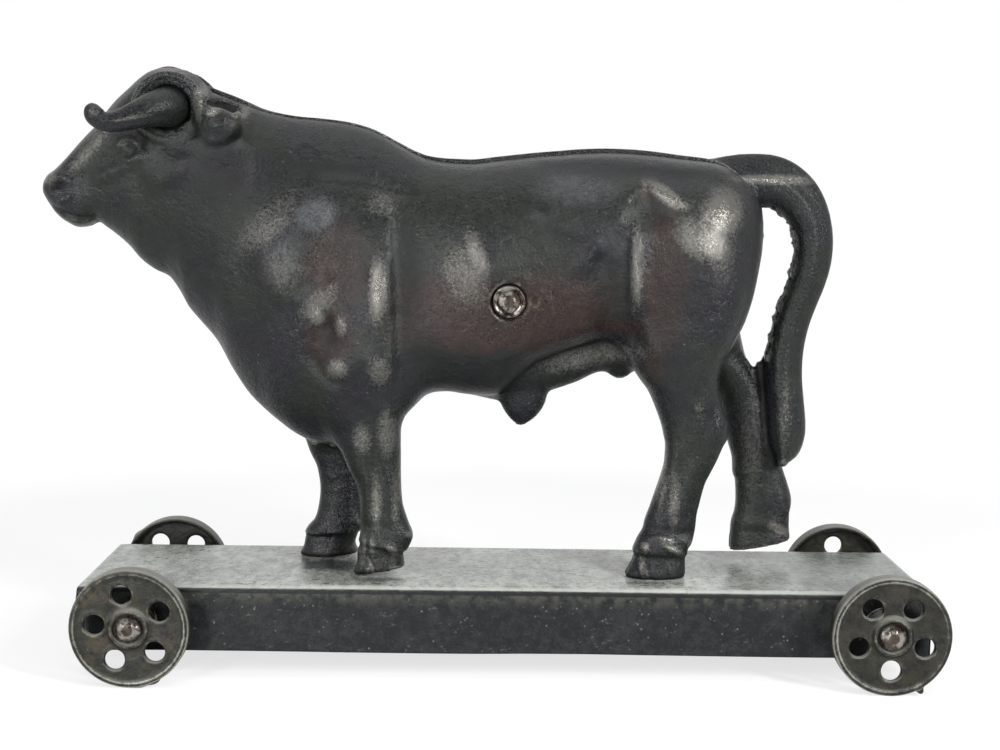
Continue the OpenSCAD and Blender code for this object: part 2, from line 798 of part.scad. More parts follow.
module hind_hoof_washer() {
    hoof_washer(hind_hoof);
}

module front_hoof_washer() {
    hoof_washer(front_hoof);
}

bull_near_half();
bull_far_half();
near_horn();
far_horn();
tie_rivet();
near_collar();
far_collar();
deck();
front_axle();
rear_axle();
wheel_front_near();
wheel_front_far();
wheel_rear_near();
wheel_rear_far();
washer_front_near();
washer_front_far();
washer_rear_near();
washer_rear_far();
hind_hoof_screw();
front_hoof_screw();
hind_hoof_washer();
front_hoof_washer();
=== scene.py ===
import bpy, math
import numpy as np
from mathutils import Matrix


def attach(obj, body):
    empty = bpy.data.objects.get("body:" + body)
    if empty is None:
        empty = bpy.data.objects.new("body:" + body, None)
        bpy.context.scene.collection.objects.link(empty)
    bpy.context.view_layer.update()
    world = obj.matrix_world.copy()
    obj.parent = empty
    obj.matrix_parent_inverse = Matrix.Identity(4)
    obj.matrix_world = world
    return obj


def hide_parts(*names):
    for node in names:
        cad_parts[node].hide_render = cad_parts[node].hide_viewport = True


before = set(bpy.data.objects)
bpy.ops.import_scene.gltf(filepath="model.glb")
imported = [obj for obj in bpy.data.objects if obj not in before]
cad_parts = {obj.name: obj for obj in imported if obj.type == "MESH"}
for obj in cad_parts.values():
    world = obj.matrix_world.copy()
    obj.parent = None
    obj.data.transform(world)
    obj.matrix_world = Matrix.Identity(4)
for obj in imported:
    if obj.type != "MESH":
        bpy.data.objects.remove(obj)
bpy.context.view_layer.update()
print("frame loaded")

# camera, first: metres and degrees, and the lens and sensor in mm
viewpoint = {
    "place": (-0.00535, -0.70911, 0.19343),
    "yaw": -0.8729, "pitch": 6.0731, "roll": 0.8463,
    "lens": 62.06, "sensor": 36, "clip": (0.05, 20),
}


def aimCamera(v):
    yaw, pitch, roll = (math.radians(v[k]) for k in ("yaw", "pitch", "roll"))
    side = np.array((math.cos(yaw), math.sin(yaw), 0.0))
    ahead = np.array((-math.sin(yaw), math.cos(yaw), 0.0))
    above = np.array((0.0, 0.0, 1.0))
    look = math.cos(pitch) * ahead - math.sin(pitch) * above
    tip = math.sin(pitch) * ahead + math.cos(pitch) * above
    right = math.cos(roll) * side + math.sin(roll) * tip
    up = -math.sin(roll) * side + math.cos(roll) * tip
    turn = Matrix((right, up, -look)).transposed().to_4x4()
    data = bpy.data.cameras.new("camera")
    data.lens = v["lens"]
    data.sensor_width = v["sensor"]
    data.clip_start, data.clip_end = v["clip"]
    cam = bpy.data.objects.new("camera", data)
    cam.matrix_world = Matrix.Translation(v["place"]) @ turn
    bpy.context.scene.collection.objects.link(cam)
    bpy.context.scene.camera = cam


aimCamera(viewpoint)
bpy.context.scene.view_settings.view_transform = "Standard"
print("camera set")


# node helpers
def nodeOf(tree, kind, inputs=None, **settings):
    n = tree.nodes.new("ShaderNode" + kind)
    for k, v in settings.items():
        setattr(n, k, v)
    for k, v in (inputs or {}).items():
        if isinstance(v, bpy.types.NodeSocket):
            tree.links.new(v, n.inputs[k])
        else:
            n.inputs[k].default_value = v
    return n


def mathOf(t, kind, a, b):
    return nodeOf(t, "Math", {0: a, 1: b}, operation=kind).outputs[0]


# a value carried from one range to another, straight or with soft ends
def spread(t, value, low, high, toLow=0.0, toHigh=1.0, soft=False):
    ends = {"Value": value, "From Min": low, "From Max": high, "To Min": toLow, "To Max": toHigh}
    return nodeOf(t, "MapRange", ends, interpolation_type="SMOOTHSTEP" if soft else "LINEAR").outputs[0]


# a value painted on a mesh's points
def layerOf(t, layer):
    return nodeOf(t, "Attribute", attribute_name=layer).outputs["Fac"]


def emptyMaterial(name):
    m = bpy.data.materials.new(name)
    m.use_nodes = True
    m.node_tree.nodes.clear()
    return m, m.node_tree


# stage: pale floor that fades to the white background. the white backdrop stands behind and beside the
# object; reflections that look back past the camera see a dimmer room
stage = {
    "floorColour": (0.9, 0.9, 0.9, 1), "size": 6.0, "fade": (0.2, 0.55), "nearShare": 0.72,
    "skyColour": (0.97, 0.985, 1.0, 1), "skyStrength": 0.36,
    "roomStrength": 0.12, "backdropWay": (0.0, 0.92, -0.4), "backdropEdge": (-0.75, 0.1),
}


# 1 for a ray straight from the camera, and 1 for a ray that may also come off a mirror or through glass
def seenRays(t):
    rays = nodeOf(t, "LightPath").outputs
    seen = mathOf(t, "MAXIMUM", rays["Is Camera Ray"], rays["Is Glossy Ray"])
    return rays["Is Camera Ray"], mathOf(t, "MAXIMUM", seen, rays["Is Transmission Ray"])


def makeStage(s):
    half = s["size"] / 2
    mesh = bpy.data.meshes.new("floor")
    square = [(-half, -half, 0), (half, -half, 0), (half, half, 0), (-half, half, 0)]
    mesh.from_pydata(square, [], [(0, 1, 2, 3)])
    floor = bpy.data.objects.new("floor", mesh)
    bpy.context.scene.collection.objects.link(floor)
    m, t = emptyMaterial("paleFloor")
    where = nodeOf(t, "TexCoord").outputs["Object"]
    far = nodeOf(t, "VectorMath", {0: where}, operation="LENGTH").outputs["Value"]
    fade = spread(t, far, *s["fade"], soft=True)
    direct, seen = seenRays(t)
    near = mathOf(t, "MULTIPLY", direct, s["nearShare"])
    share = mathOf(t, "MAXIMUM", mathOf(t, "MULTIPLY", fade, seen), near)
    matt = nodeOf(t, "BsdfDiffuse", {"Color": s["floorColour"]}).outputs[0]
    glow = nodeOf(t, "Emission", {"Color": (1, 1, 1, 1), "Strength": 1.0}).outputs[0]
    mix = nodeOf(t, "MixShader", {0: share, 1: matt, 2: glow}).outputs[0]
    nodeOf(t, "OutputMaterial", {"Surface": mix})
    mesh.materials.append(m)

    world = bpy.data.worlds.new("studio")
    bpy.context.scene.world = world
    world.use_nodes = True
    w = world.node_tree
    w.nodes.clear()
    direct, seen = seenRays(w)
    soft = nodeOf(w, "Background", {"Color": s["skyColour"], "Strength": s["skyStrength"]}).outputs[0]
    way = nodeOf(w, "TexCoord").outputs["Generated"]
    ahead = nodeOf(w, "VectorMath", {0: way, 1: s["backdropWay"]}, operation="DOT_PRODUCT").outputs["Value"]
    room = spread(w, ahead, *s["backdropEdge"], s["roomStrength"], 1.0, soft=True)
    level = mathOf(w, "MAXIMUM", direct, room)
    white = nodeOf(w, "Background", {"Color": (1, 1, 1, 1), "Strength": level}).outputs[0]
    mix = nodeOf(w, "MixShader", {0: seen, 1: soft, 2: white}).outputs[0]
    nodeOf(w, "OutputWorld", {"Surface": mix})


makeStage(stage)

# soft boxes: place, aim point, size, watts
softBoxes = {
    "keyBox": {"at": (-0.52, -1.08, 0.37), "aim": (0.0, 0.0, 0.12), "size": (0.15, 0.86), "power": 14.0},
    "rightBox": {"at": (0.80, -0.84, 0.60), "aim": (0.0, 0.0, 0.12), "size": (0.16, 0.62), "power": 20.0},
    "leftBox": {"at": (-1.1, -0.5, 0.45), "aim": (0.0, 0.0, 0.12), "size": (0.24, 0.7), "power": 3.5},
    "topBox": {"at": (0.0, -0.05, 1.3), "aim": (0.0, 0.0, 0.1), "size": (1.2, 0.7), "power": 5.5},
}


def hangLamps(boxes):
    for name, b in boxes.items():
        data = bpy.data.lights.new(name, "AREA")
        data.shape = "RECTANGLE"
        data.size, data.size_y = b["size"]
        data.energy = b["power"]
        lamp = bpy.data.objects.new(name, data)
        at = np.array(b["at"])
        back = at - np.array(b["aim"])
        back = back / np.linalg.norm(back)
        side = np.cross((0, 0, 1), back)
        side = side / np.linalg.norm(side)
        up = np.cross(back, side)
        lamp.matrix_world = Matrix.Translation(b["at"]) @ Matrix((side, up, back)).transposed().to_4x4()
        bpy.context.scene.collection.objects.link(lamp)


hangLamps(softBoxes)
print("stage and lamps placed")


# a row of listed stations, joined by a monotone cubic: slopes are the weighted harmonic mean of the two
# neighbouring steps, so the curve never swings past a station
def alongStations(table, t):
    table = np.asarray(table, float)
    x, y = table[:, 0], table[:, 1:]
    h = np.diff(x)
    d = np.diff(y, axis=0) / h[:, None]
    w1, w2 = (2 * h[1:] + h[:-1])[:, None], (h[1:] + 2 * h[:-1])[:, None]
    same = d[:-1] * d[1:] > 0
    safe0, safe1 = np.where(same, d[:-1], 1.0), np.where(same, d[1:], 1.0)
    m = np.zeros_like(y)
    m[1:-1] = np.where(same, (w1 + w2) / (w1 / safe0 + w2 / safe1), 0.0)
    m[0], m[-1] = d[0], d[-1]
    t = np.clip(np.asarray(t, float), x[0], x[-1])
    i = np.clip(np.searchsorted(x, t) - 1, 0, len(x) - 2)
    u = ((t - x[i]) / h[i])[..., None]
    step = h[i][..., None]
    return ((1 + 2 * u) * (1 - u) ** 2 * y[i] + u * (1 - u) ** 2 * step * m[i]
            + u * u * (3 - 2 * u) * y[i + 1] + u * u * (u - 1) * step * m[i + 1])


# union of two distance fields, rounded over a width k: the lesser of the two, less h*h*k/4, where h is
# how far their difference falls short of k, over k. with signs turned it cuts one from the other, or keeps
# what both hold
def weld(a, b, k):
    h = np.maximum(k - np.abs(a - b), 0) / k
    return np.minimum(a, b) - h * h * k * 0.25


def cutOut(a, b, k):
    return -weld(-a, b, k)


def keepBoth(a, b, k):
    return -weld(-a, -b, k)


# a step from 0 at lo to 1 at hi, as t*t*(3-2t)
def smooth(lo, hi, v):
    t = np.clip((v - lo) / (hi - lo), 0, 1)
    return t * t * (3 - 2 * t)


# how often the net's points are pulled onto the field, the longest pull in mm, the share of it that is
# taken, and the least slope squared that it is measured by
net = {"pulls": 2, "reach": 0.35, "share": 0.8, "flattest": 0.05}
corners = [(a, b, c) for a in (0, 1) for b in (0, 1) for c in (0, 1)]


# skin of a field: one vertex per crossed cell, at the mean of its edges' crossings, then pulled onto the
# zero level along the field's slope, which is value over slope squared; one face round each crossed grid
# edge
def netSurface(field, xs, ys, zs):
    inside = field < 0
    nx, ny, nz = field.shape
    total = np.zeros((nx - 1, ny - 1, nz - 1), np.int8)
    for a, b, c in corners:
        total += inside[a:nx - 1 + a, b:ny - 1 + b, c:nz - 1 + c]
    cells = np.nonzero((total > 0) & (total < 8))
    index = np.full(total.shape, -1, np.int32)
    index[cells] = np.arange(len(cells[0]))
    axes = (xs, ys, zs)
    spot = np.zeros((len(cells[0]), 3))
    hits = np.zeros(len(cells[0]))
    for ax in range(3):
        o1, o2 = [k for k in range(3) if k != ax]
        for a, b in ((0, 0), (0, 1), (1, 0), (1, 1)):
            p = [v.copy() for v in cells]
            p[o1] += a
            p[o2] += b
            q = [v.copy() for v in p]
            q[ax] += 1
            f0, f1 = field[tuple(p)], field[tuple(q)]
            on = (f0 < 0) != (f1 < 0)
            t = np.where(on, f0 / np.where(on, f0 - f1, 1), 0)
            for k in range(3):
                lo = axes[k][p[k]]
                spot[:, k] += np.where(on, lo + (t * (axes[k][q[k]] - lo) if k == ax else 0), 0)
            hits += on
    spot /= hits[:, None]
    for _ in range(net["pulls"]):
        ijk, u = [], []
        for k in range(3):
            n = np.clip(np.searchsorted(axes[k], spot[:, k]) - 1, 0, len(axes[k]) - 2)
            ijk.append(n)
            u.append((spot[:, k] - axes[k][n]) / (axes[k][n + 1] - axes[k][n]))
        value = np.zeros(len(spot))
        slope = np.zeros((len(spot), 3))
        for a, b, c in corners:
            f = field[ijk[0] + a, ijk[1] + b, ijk[2] + c]
            wx, wy, wz = (u[k] if on else 1 - u[k] for k, on in enumerate((a, b, c)))
            value += f * wx * wy * wz
            slope[:, 0] += f * wy * wz * (1 if a else -1)
            slope[:, 1] += f * wx * wz * (1 if b else -1)
            slope[:, 2] += f * wx * wy * (1 if c else -1)
        for k in range(3):
            slope[:, k] /= axes[k][ijk[k] + 1] - axes[k][ijk[k]]
        move = -(value / np.maximum((slope ** 2).sum(1), net["flattest"]))[:, None] * slope
        size = np.linalg.norm(move, axis=1)
        spot += move * np.minimum(1, net["reach"] / np.maximum(size, 1e-9))[:, None] * net["share"]
    quads = []
    for ax in range(3):
        o1, o2 = ((1, 2), (2, 0), (0, 1))[ax]
        lo = [slice(None)] * 3
        hi = [slice(None)] * 3
        lo[ax], hi[ax] = slice(0, -1), slice(1, None)
        a, b = inside[tuple(lo)], inside[tuple(hi)]
        cross = a != b
        for o in (o1, o2):
            for last in (slice(0, 1), slice(-1, None)):
                end = [slice(None)] * 3
                end[o] = last
                cross[tuple(end)] = False
        p = np.nonzero(cross)
        out = a[p]
        ring = []
        for d1, d2 in ((-1, -1), (0, -1), (0, 0), (-1, 0)):
            q = [v.copy() for v in p]
            q[o1] += d1
            q[o2] += d2
            ring.append(index[tuple(q)])
        ring = np.stack(ring, 1)
        ring[~out] = ring[~out][:, ::-1]
        quads.append(ring)
    return spot, np.concatenate(quads)


# a mesh from points in metres and one or more groups of faces, each with its own count of sides
def meshPiece(name, points, *groups):
    points = np.asarray(points, np.float32)
    loops = np.concatenate([g.ravel() for g in groups]).astype(np.int32)
    sides = np.concatenate([np.full(len(g), g.shape[1]) for g in groups])
    mesh = bpy.data.meshes.new(name)
    mesh.vertices.add(len(points))
    mesh.vertices.foreach_set("co", points.ravel())
    mesh.loops.add(len(loops))
    mesh.loops.foreach_set("vertex_index", loops)
    mesh.polygons.add(len(sides))
    mesh.polygons.foreach_set("loop_start", (np.cumsum(sides) - sides).astype(np.int32))
    mesh.polygons.foreach_set("use_smooth", np.ones(len(sides), bool))
    mesh.update(calc_edges=True)
    mesh.validate()
    piece = bpy.data.objects.new(name, mesh)
    bpy.context.scene.collection.objects.link(piece)
    return piece


def paintLayer(piece, name, value):
    layer = piece.data.attributes.new(name, "FLOAT", "POINT")
    layer.data.foreach_set("value", value.astype(np.float32))


# the bull, in millimetres from the deck's top; x runs along the joint plane, off is the distance
# from it
place = {"x": 0.65, "joint": 3.0, "deckTop": 37.5}

# x, top, bottom, height of the widest place, half width, squareness above and below
trunk = [
    (-182.8, 156.4, 152.6, 154.5, 2.0, 2, 2), (-181.7, 158.8, 151.0, 154.5, 7.0, 2, 2),
    (-179.6, 160.6, 147.9, 154.0, 10.0, 2.1, 2.2), (-176.5, 163.5, 143.7, 153.0, 12.0, 2.2, 2.3),
    (-173.0, 167.2, 141.0, 152.5, 12.8, 2.2, 2.4), (-168.0, 173.0, 138.9, 153.0, 13.4, 2.2, 2.4),
    (-164.3, 177.0, 139.4, 154.5, 14.0, 2.2, 2.3), (-160.2, 181.2, 141.1, 157.0, 15.0, 2.2, 2.2),
    (-156.5, 186.2, 138.8, 160.0, 16.0, 2.2, 2.1), (-152.2, 191.1, 135.6, 163.0, 17.4, 2.3, 2),
    (-147.5, 195.2, 131.4, 166.0, 18.8, 2.5, 2), (-143.2, 199.0, 126.4, 168.0, 20.0, 2.7, 2),
    (-137.4, 202.8, 122.0, 169.0, 21.2, 2.9, 1.9), (-131.7, 204.1, 119.3, 167.0, 22.2, 2.9, 1.9),
    (-127.3, 203.2, 113.6, 164.0, 23.0, 2.8, 1.9), (-123.4, 200.9, 106.6, 161.0, 24.4, 2.6, 1.9),
    (-119.0, 197.7, 101.4, 159.0, 26.0, 2.3, 1.9), (-112.0, 194.7, 93.2, 156.0, 27.8, 2, 1.9),
    (-105.0, 192.1, 80.8, 152.0, 28.8, 1.9, 2), (-98.7, 189.5, 71.4, 146.0, 29.4, 1.9, 2),
    (-93.5, 187.3, 66.0, 138.0, 30.2, 1.8, 2), (-86.5, 185.5, 60.1, 129.0, 31.6, 1.8, 2.1),
    (-78.4, 184.3, 54.4, 122.0, 33.2, 1.8, 2.1), (-70.2, 183.7, 51.0, 118.0, 34.6, 1.8, 2.1),
    (-60.0, 182.6, 50.4, 115.0, 35.4, 1.8, 2.2), (-50.0, 180.2, 54.0, 114.0, 35.6, 1.8, 2.2),
    (-43.6, 177.4, 59.5, 114.0, 35.4, 1.8, 2.2), (-37.5, 174.1, 65.0, 114.0, 35.2, 1.9, 2.4),
    (-31.0, 170.6, 69.6, 114.0, 35.2, 2, 2.6), (-25.0, 168.4, 72.8, 115.0, 35.4, 2.1, 2.7),
    (-16.9, 167.3, 73.8, 116.0, 36.0, 2.2, 2.8), (-8.7, 167.0, 72.8, 117.0, 36.6, 2.3, 2.8),
    (2.0, 168.2, 72.4, 117.0, 37.0, 2.3, 2.8), (12.0, 169.4, 80.4, 119.0, 37.0, 2.3, 2.8),
    (19.0, 170.2, 86.4, 121.0, 36.8, 2.3, 2.8), (28.0, 171.0, 90.4, 123.0, 36.0, 2.3, 2.8),
    (37.0, 171.8, 94.3, 126.0, 35.0, 2.3, 2.7), (47.0, 172.2, 96.3, 129.0, 34.2, 2.3, 2.6),
    (56.5, 172.0, 93.2, 131.0, 34.0, 2.3, 2.4), (66.0, 171.4, 87.0, 132.0, 34.2, 2.2, 2.3),
    (77.4, 170.2, 83.0, 132.0, 34.2, 2.2, 2.2), (88.2, 169.2, 83.0, 132.0, 32.8, 2.1, 2.1),
    (96.4, 167.3, 90.8, 132.0, 29.8, 2.1, 2), (102.8, 163.0, 98.6, 133.0, 25.4, 2.1, 2),
    (106.6, 159.0, 107.8, 134.0, 20.8, 2.1, 2), (109.4, 155.4, 119.6, 137.0, 15.4, 2, 2),
    (111.2, 151.6, 129.6, 140.0, 9.8, 2, 2), (112.0, 146.2, 136.2, 141.0, 3.6, 2, 2),
]
keel = [
    (-16.0, 110, 76.0, 96, 17, 2, 2), (-6.0, 110, 72.2, 95, 17, 2, 2), (4.6, 110, 69.8, 94, 16, 2, 2),
    (16.0, 110, 71.6, 94, 14, 2, 2), (26.6, 110, 74.3, 95, 13, 2, 2), (36.1, 112, 77.6, 97, 12, 2, 2),
    (47.2, 114, 82.2, 99, 12, 2, 2), (58.5, 114, 82.4, 99, 12, 2, 2), (68.0, 112, 86.0, 99, 10, 2, 2),
]
# height, front, back, half thickness, distance of the middle from the joint plane
nearHindLeg = [
    (0, 57.2, 80.8, 8.2, 17.5), (2, 57.6, 81.4, 8.2, 17.5), (6.4, 59.3, 81.9, 8, 17.5),
    (9.4, 60, 82.2, 7.8, 17.5), (11.4, 60.1, 82.6, 8.4, 17.5), (14.8, 61.2, 84.2, 7.8, 17.5),
    (18.9, 63.2, 85.3, 7.6, 17.5), (25.2, 65.2, 85.8, 7.4, 17.5), (31.5, 67.6, 87.1, 7.4, 17.5),
    (39, 70.2, 89, 7.8, 17.5), (43.2, 71.4, 91, 8.2, 17.5), (48, 72.4, 93.3, 8.8, 17.6),
    (54.2, 72.3, 95.8, 9.2, 17.8), (58.6, 71.4, 97.8, 9.4, 18), (62.4, 70.5, 97.8, 9.8, 18),
    (70, 67.7, 95.2, 11, 18.2), (77, 64.4, 93.6, 12.6, 18.6), (81.2, 61.2, 93.1, 13.6, 19),
    (87, 57.6, 94.2, 14.8, 19), (96.4, 55, 98.4, 16, 19), (106, 55, 101.6, 16.4, 19),
    (119.8, 56, 103, 16, 18.6), (133, 60, 99, 13.6, 17.6), (142, 66, 92, 9, 16),
]
nearFrontLeg = [
    (0, -54, -32.8, 8.2, 17.5), (2, -53.7, -33, 8.2, 17.5), (5.2, -52.9, -34, 8, 17.5),
    (8, -53.1, -33.6, 7.8, 17.5), (10, -52.9, -32.6, 8.2, 17.5), (12.4, -52.2, -31, 8, 17.5),
    (15.6, -51.7, -30, 7.8, 17.5), (21.8, -51.5, -32.1, 7.4, 17.5), (30, -51.8, -34.5, 7.4, 17.5),
    (36.6, -53.3, -35, 7.8, 17.5), (44, -56.9, -35.2, 8.6, 17.6), (49.7, -59.2, -35.2, 9, 17.8),
    (53.4, -60.8, -35.3, 9.4, 18), (58.7, -62.6, -35.3, 10.2, 18.2), (64, -65.4, -34.2, 11.4, 18.6),
    (71, -68.4, -29.6, 13, 19), (80, -71, -26.5, 15, 19.4), (92, -73, -27, 16.4, 19.4),
    (106, -72, -34, 14.4, 19), (118, -68, -40, 11, 18), (128, -62, -48, 7, 17),
]
farFrontLeg = [
    (0, -79, -55.2, 8.2, 17.5), (2, -78.6, -55.4, 8.2, 17.5), (5.2, -77.7, -56.1, 8, 17.5),
    (8, -77.7, -55.2, 7.8, 17.5), (10, -77.2, -54, 8.2, 17.5), (12.4, -76.2, -53, 8, 17.5),
    (15.6, -73.4, -52.4, 7.8, 17.5), (21.4, -71.7, -52.6, 7.4, 17.5), (28.2, -71, -53, 7.4, 17.5),
    (37.4, -72.2, -53, 7.8, 17.5), (45, -75.6, -52.6, 8.6, 17.6), (48.6, -76.9, -52.2, 9.2, 17.8),
    (58, -80, -49, 11, 18.4), (70, -82, -44, 13.4, 19), (82, -83, -40, 15.4, 19.4),
    (95, -82, -38, 16.2, 19.4), (108, -77, -40, 14.4, 19), (119, -71, -44, 11, 18), (129, -64, -50, 7, 17),
]
farHindLeg = [
    (4.2, 105.3, 129.8, 8.2, 17.5), (7, 105, 130.2, 8.2, 17.5), (10.4, 104.9, 130.4, 8, 17.5),
    (13.4, 105.1, 130.3, 7.8, 17.5), (16.9, 105.5, 130.3, 8.2, 17.5), (21.2, 106.7, 130.3, 7.8, 17.5),
    (25.5, 107.1, 131, 7.8, 17.5), (34.6, 106.6, 128.7, 7.6, 17.5), (37.8, 105.4, 127.5, 7.6, 17.5),
    (43.4, 105.1, 125.8, 7.8, 17.5), (50.1, 103.3, 124.4, 8.4, 17.6), (56.2, 101.5, 123.1, 9, 17.8),
    (69.1, 98, 119.8, 10.6, 18.2), (82.3, 90, 112.9, 12.8, 18.6), (87, 84, 109.9, 14, 19),
    (96.4, 74, 107.2, 15.4, 19), (106, 68, 105, 16.2, 19), (119.8, 66, 103, 16, 18.6),
    (133, 66, 98, 13.6, 17.6), (142, 70, 92, 9, 16),
]
# x, height, half width across the sweep
tail = [
    (84, 158, 9), (93, 160.4, 10.6), (102, 161.8, 11.2), (111, 162.4, 11.2), (117.5, 161.8, 11),
    (123, 159.4, 10.6), (128, 155.2, 10), (131.8, 149.6, 9.2), (134.2, 143, 8.6), (135.2, 136, 8.3),
    (134.8, 128.6, 8.1), (133, 121, 7.9), (130.4, 113.4, 7.6), (127.6, 105.4, 7.6), (125.7, 97.4, 7.6),
    (124.6, 89, 7.7), (124.4, 80, 7.9), (125.2, 71, 8), (126.3, 62, 8), (126.6, 55, 7.6), (125.9, 49, 6),
    (124.6, 44.6, 2.6),
]

# height, front, back, half thickness, distance of the middle from the joint plane
sheath = [
    (59.1, 12.4, 14.8, 0.8, 0), (60.6, 10.6, 17.2, 2.4, 0), (63.2, 8.2, 20.2, 4.4, 0),
    (66.6, 6.0, 22.8, 6.0, 0), (70.0, 4.6, 24.2, 7.0, 0), (74.0, 3.6, 25.0, 7.6, 0),
    (80.0, 3.0, 26.0, 8.0, 0),
]

# relief on the outer side. line: height, width, points. shelf: height, sharpness, fade, points, raised on
# the left of the way they run, or on the right where the height is below nought. dome: height, half
# length, half height, x, z
bodyRelief = {
    "shoulderFront": ("shelf", 3.5, 4.0, 22, [(-60.0, 156.8), (-70.2, 154.3), (-79.9, 149.5), (-88.5, 143.9),
        (-93.6, 138.0), (-95.1, 131.7), (-92.0, 125.1), (-88.1, 118.5), (-84.2, 111.5), (-81.0, 104.4)]),
    "shoulderDip": ("dome", -1.2, 12, 14, -61.8, 128.3),
    "shoulderTopGroove": ("line", -1.8, 2.8, [(-70.2, 160.9), (-61.2, 159.1), (-49.5, 157.7), (-36.6, 154.8),
        (-28.0, 153.7)]),
    "rearPatch": ("dome", 0.9, 6.5, 5.2, -43.2, 149.6),
    "lowRidge": ("line", 2.0, 3.2, [(-78.6, 106.0), (-73.9, 110.0), (-69.2, 113.6), (-63.8, 117.6),
        (-58.3, 121.3)]),
    "elbowHollow": ("dome", -3.0, 4.8, 5.4, -63.3, 101.6),
    "hollowRimLeft": ("line", 1.7, 2.2, [(-73.5, 96.6), (-71.2, 101.4), (-68.8, 105.0), (-65.7, 107.8),
        (-62.5, 109.0)]),
    "hollowRimRight": ("line", 1.6, 2.0, [(-62.5, 108.6), (-59.8, 105.5), (-57.8, 100.8), (-57.4, 95.6)]),
    "hollowTail": ("dome", -1.4, 6.5, 8.0, -64.5, 93.0),
    "forearmKnob": ("dome", 2.2, 4.6, 3.8, -59.7, 85.7),
    "knobFold": ("line", -1.6, 2.6, [(-73.5, 94.6), (-70.0, 89.5), (-66.0, 84.0), (-60.8, 80.1),
        (-54.1, 81.0)]),
    "tricepsBar": ("line", 1.5, 4.2, [(-45.0, 131.6), (-44.2, 125.4), (-43.6, 119.1), (-42.9, 112.8),
        (-42.1, 104.2)]),
    "tricepsFront": ("line", -0.7, 6.0, [(-54.4, 132.3), (-53.2, 122.5), (-52.0, 112.7), (-50.3, 102.9)]),
    "elbow": ("dome", 1.7, 5.5, 6.4, -44.3, 87.5),
    "ribs": ("dome", 3.0, 13, 18, -1.0, 126.0),
    "girth": ("dome", -1.0, 9, 20, -31.2, 118.9),
    "barrelEdge": ("shelf", 1.7, 3.0, 15, [(-36.1, 93.2), (-25.4, 90.9), (-11.6, 89.5), (4.3, 89.3),
        (20.0, 91.5), (33.8, 95.7), (47.6, 99.0)]),
    "loinEdge": ("shelf", 2.2, 1.8, 13, [(11.1, 154.7), (16.7, 147.8), (24.7, 141.2), (35.3, 137.9),
        (44.7, 141.1), (52.4, 148.3), (56.1, 156.5), (58.0, 162.0)]),
    "loinRidge": ("line", 2.0, 3.4, [(55.1, 148.7), (50.5, 143.6), (45.2, 138.4), (39.7, 133.6),
        (36.3, 127.3), (34.5, 121.0)]),
    "flankHollow": ("dome", -2.4, 6.4, 16, 47.5, 119.6),
    "flankKnob": ("dome", 1.3, 4.5, 3.2, 40.4, 102.1),
    "loinGroove": ("line", -1.2, 3.2, [(14.9, 164.5), (26.6, 165.0), (42.2, 165.3), (57.9, 164.3),
        (73.6, 162.2), (87.4, 160.9), (97.3, 157.9)]),
    "hipSpikeLeft": ("line", 1.8, 3.0, [(52.8, 148.7), (54.6, 153.4), (56.5, 158.1), (59.1, 162.8)]),
    "hipSpikeRight": ("line", 2.1, 3.8, [(59.9, 163.6), (63.9, 159.4), (69.1, 155.6), (74.3, 152.5),
        (79.5, 149.1)]),
    "hipHollow": ("dome", -2.4, 5.2, 7.4, 63.8, 148.8),
    "thighGroove": ("line", -0.8, 7.5, [(66.8, 151.6), (72.5, 143.9), (75.5, 134.9), (76.2, 124.3),
        (75.7, 112.5), (76.8, 100.6)]),
    "stifleBar": ("line", 1.5, 3.4, [(55.6, 144.8), (56.8, 135.8), (57.6, 126.0), (58.7, 115.8),
        (60.9, 106.4)]),
    "rumpRidge": ("line", 1.3, 8.5, [(78.4, 129.5), (81.8, 137.0), (86.7, 143.7), (92.4, 150.8),
        (98.1, 156.8)]),
    "rump": ("dome", 1.6, 15, 22, 91.0, 129.6),
    "rumpShade": ("dome", -0.8, 6, 9, 100.0, 134.5),
    "hockGlint": ("dome", 1.5, 3.0, 4.4, 84.2, 69.4),
    "archRidge": ("line", 1.2, 2.8, [(27.9, 93.2), (37.7, 96.1), (45.6, 97.4), (53.6, 96.4), (59.6, 92.5)]),
}
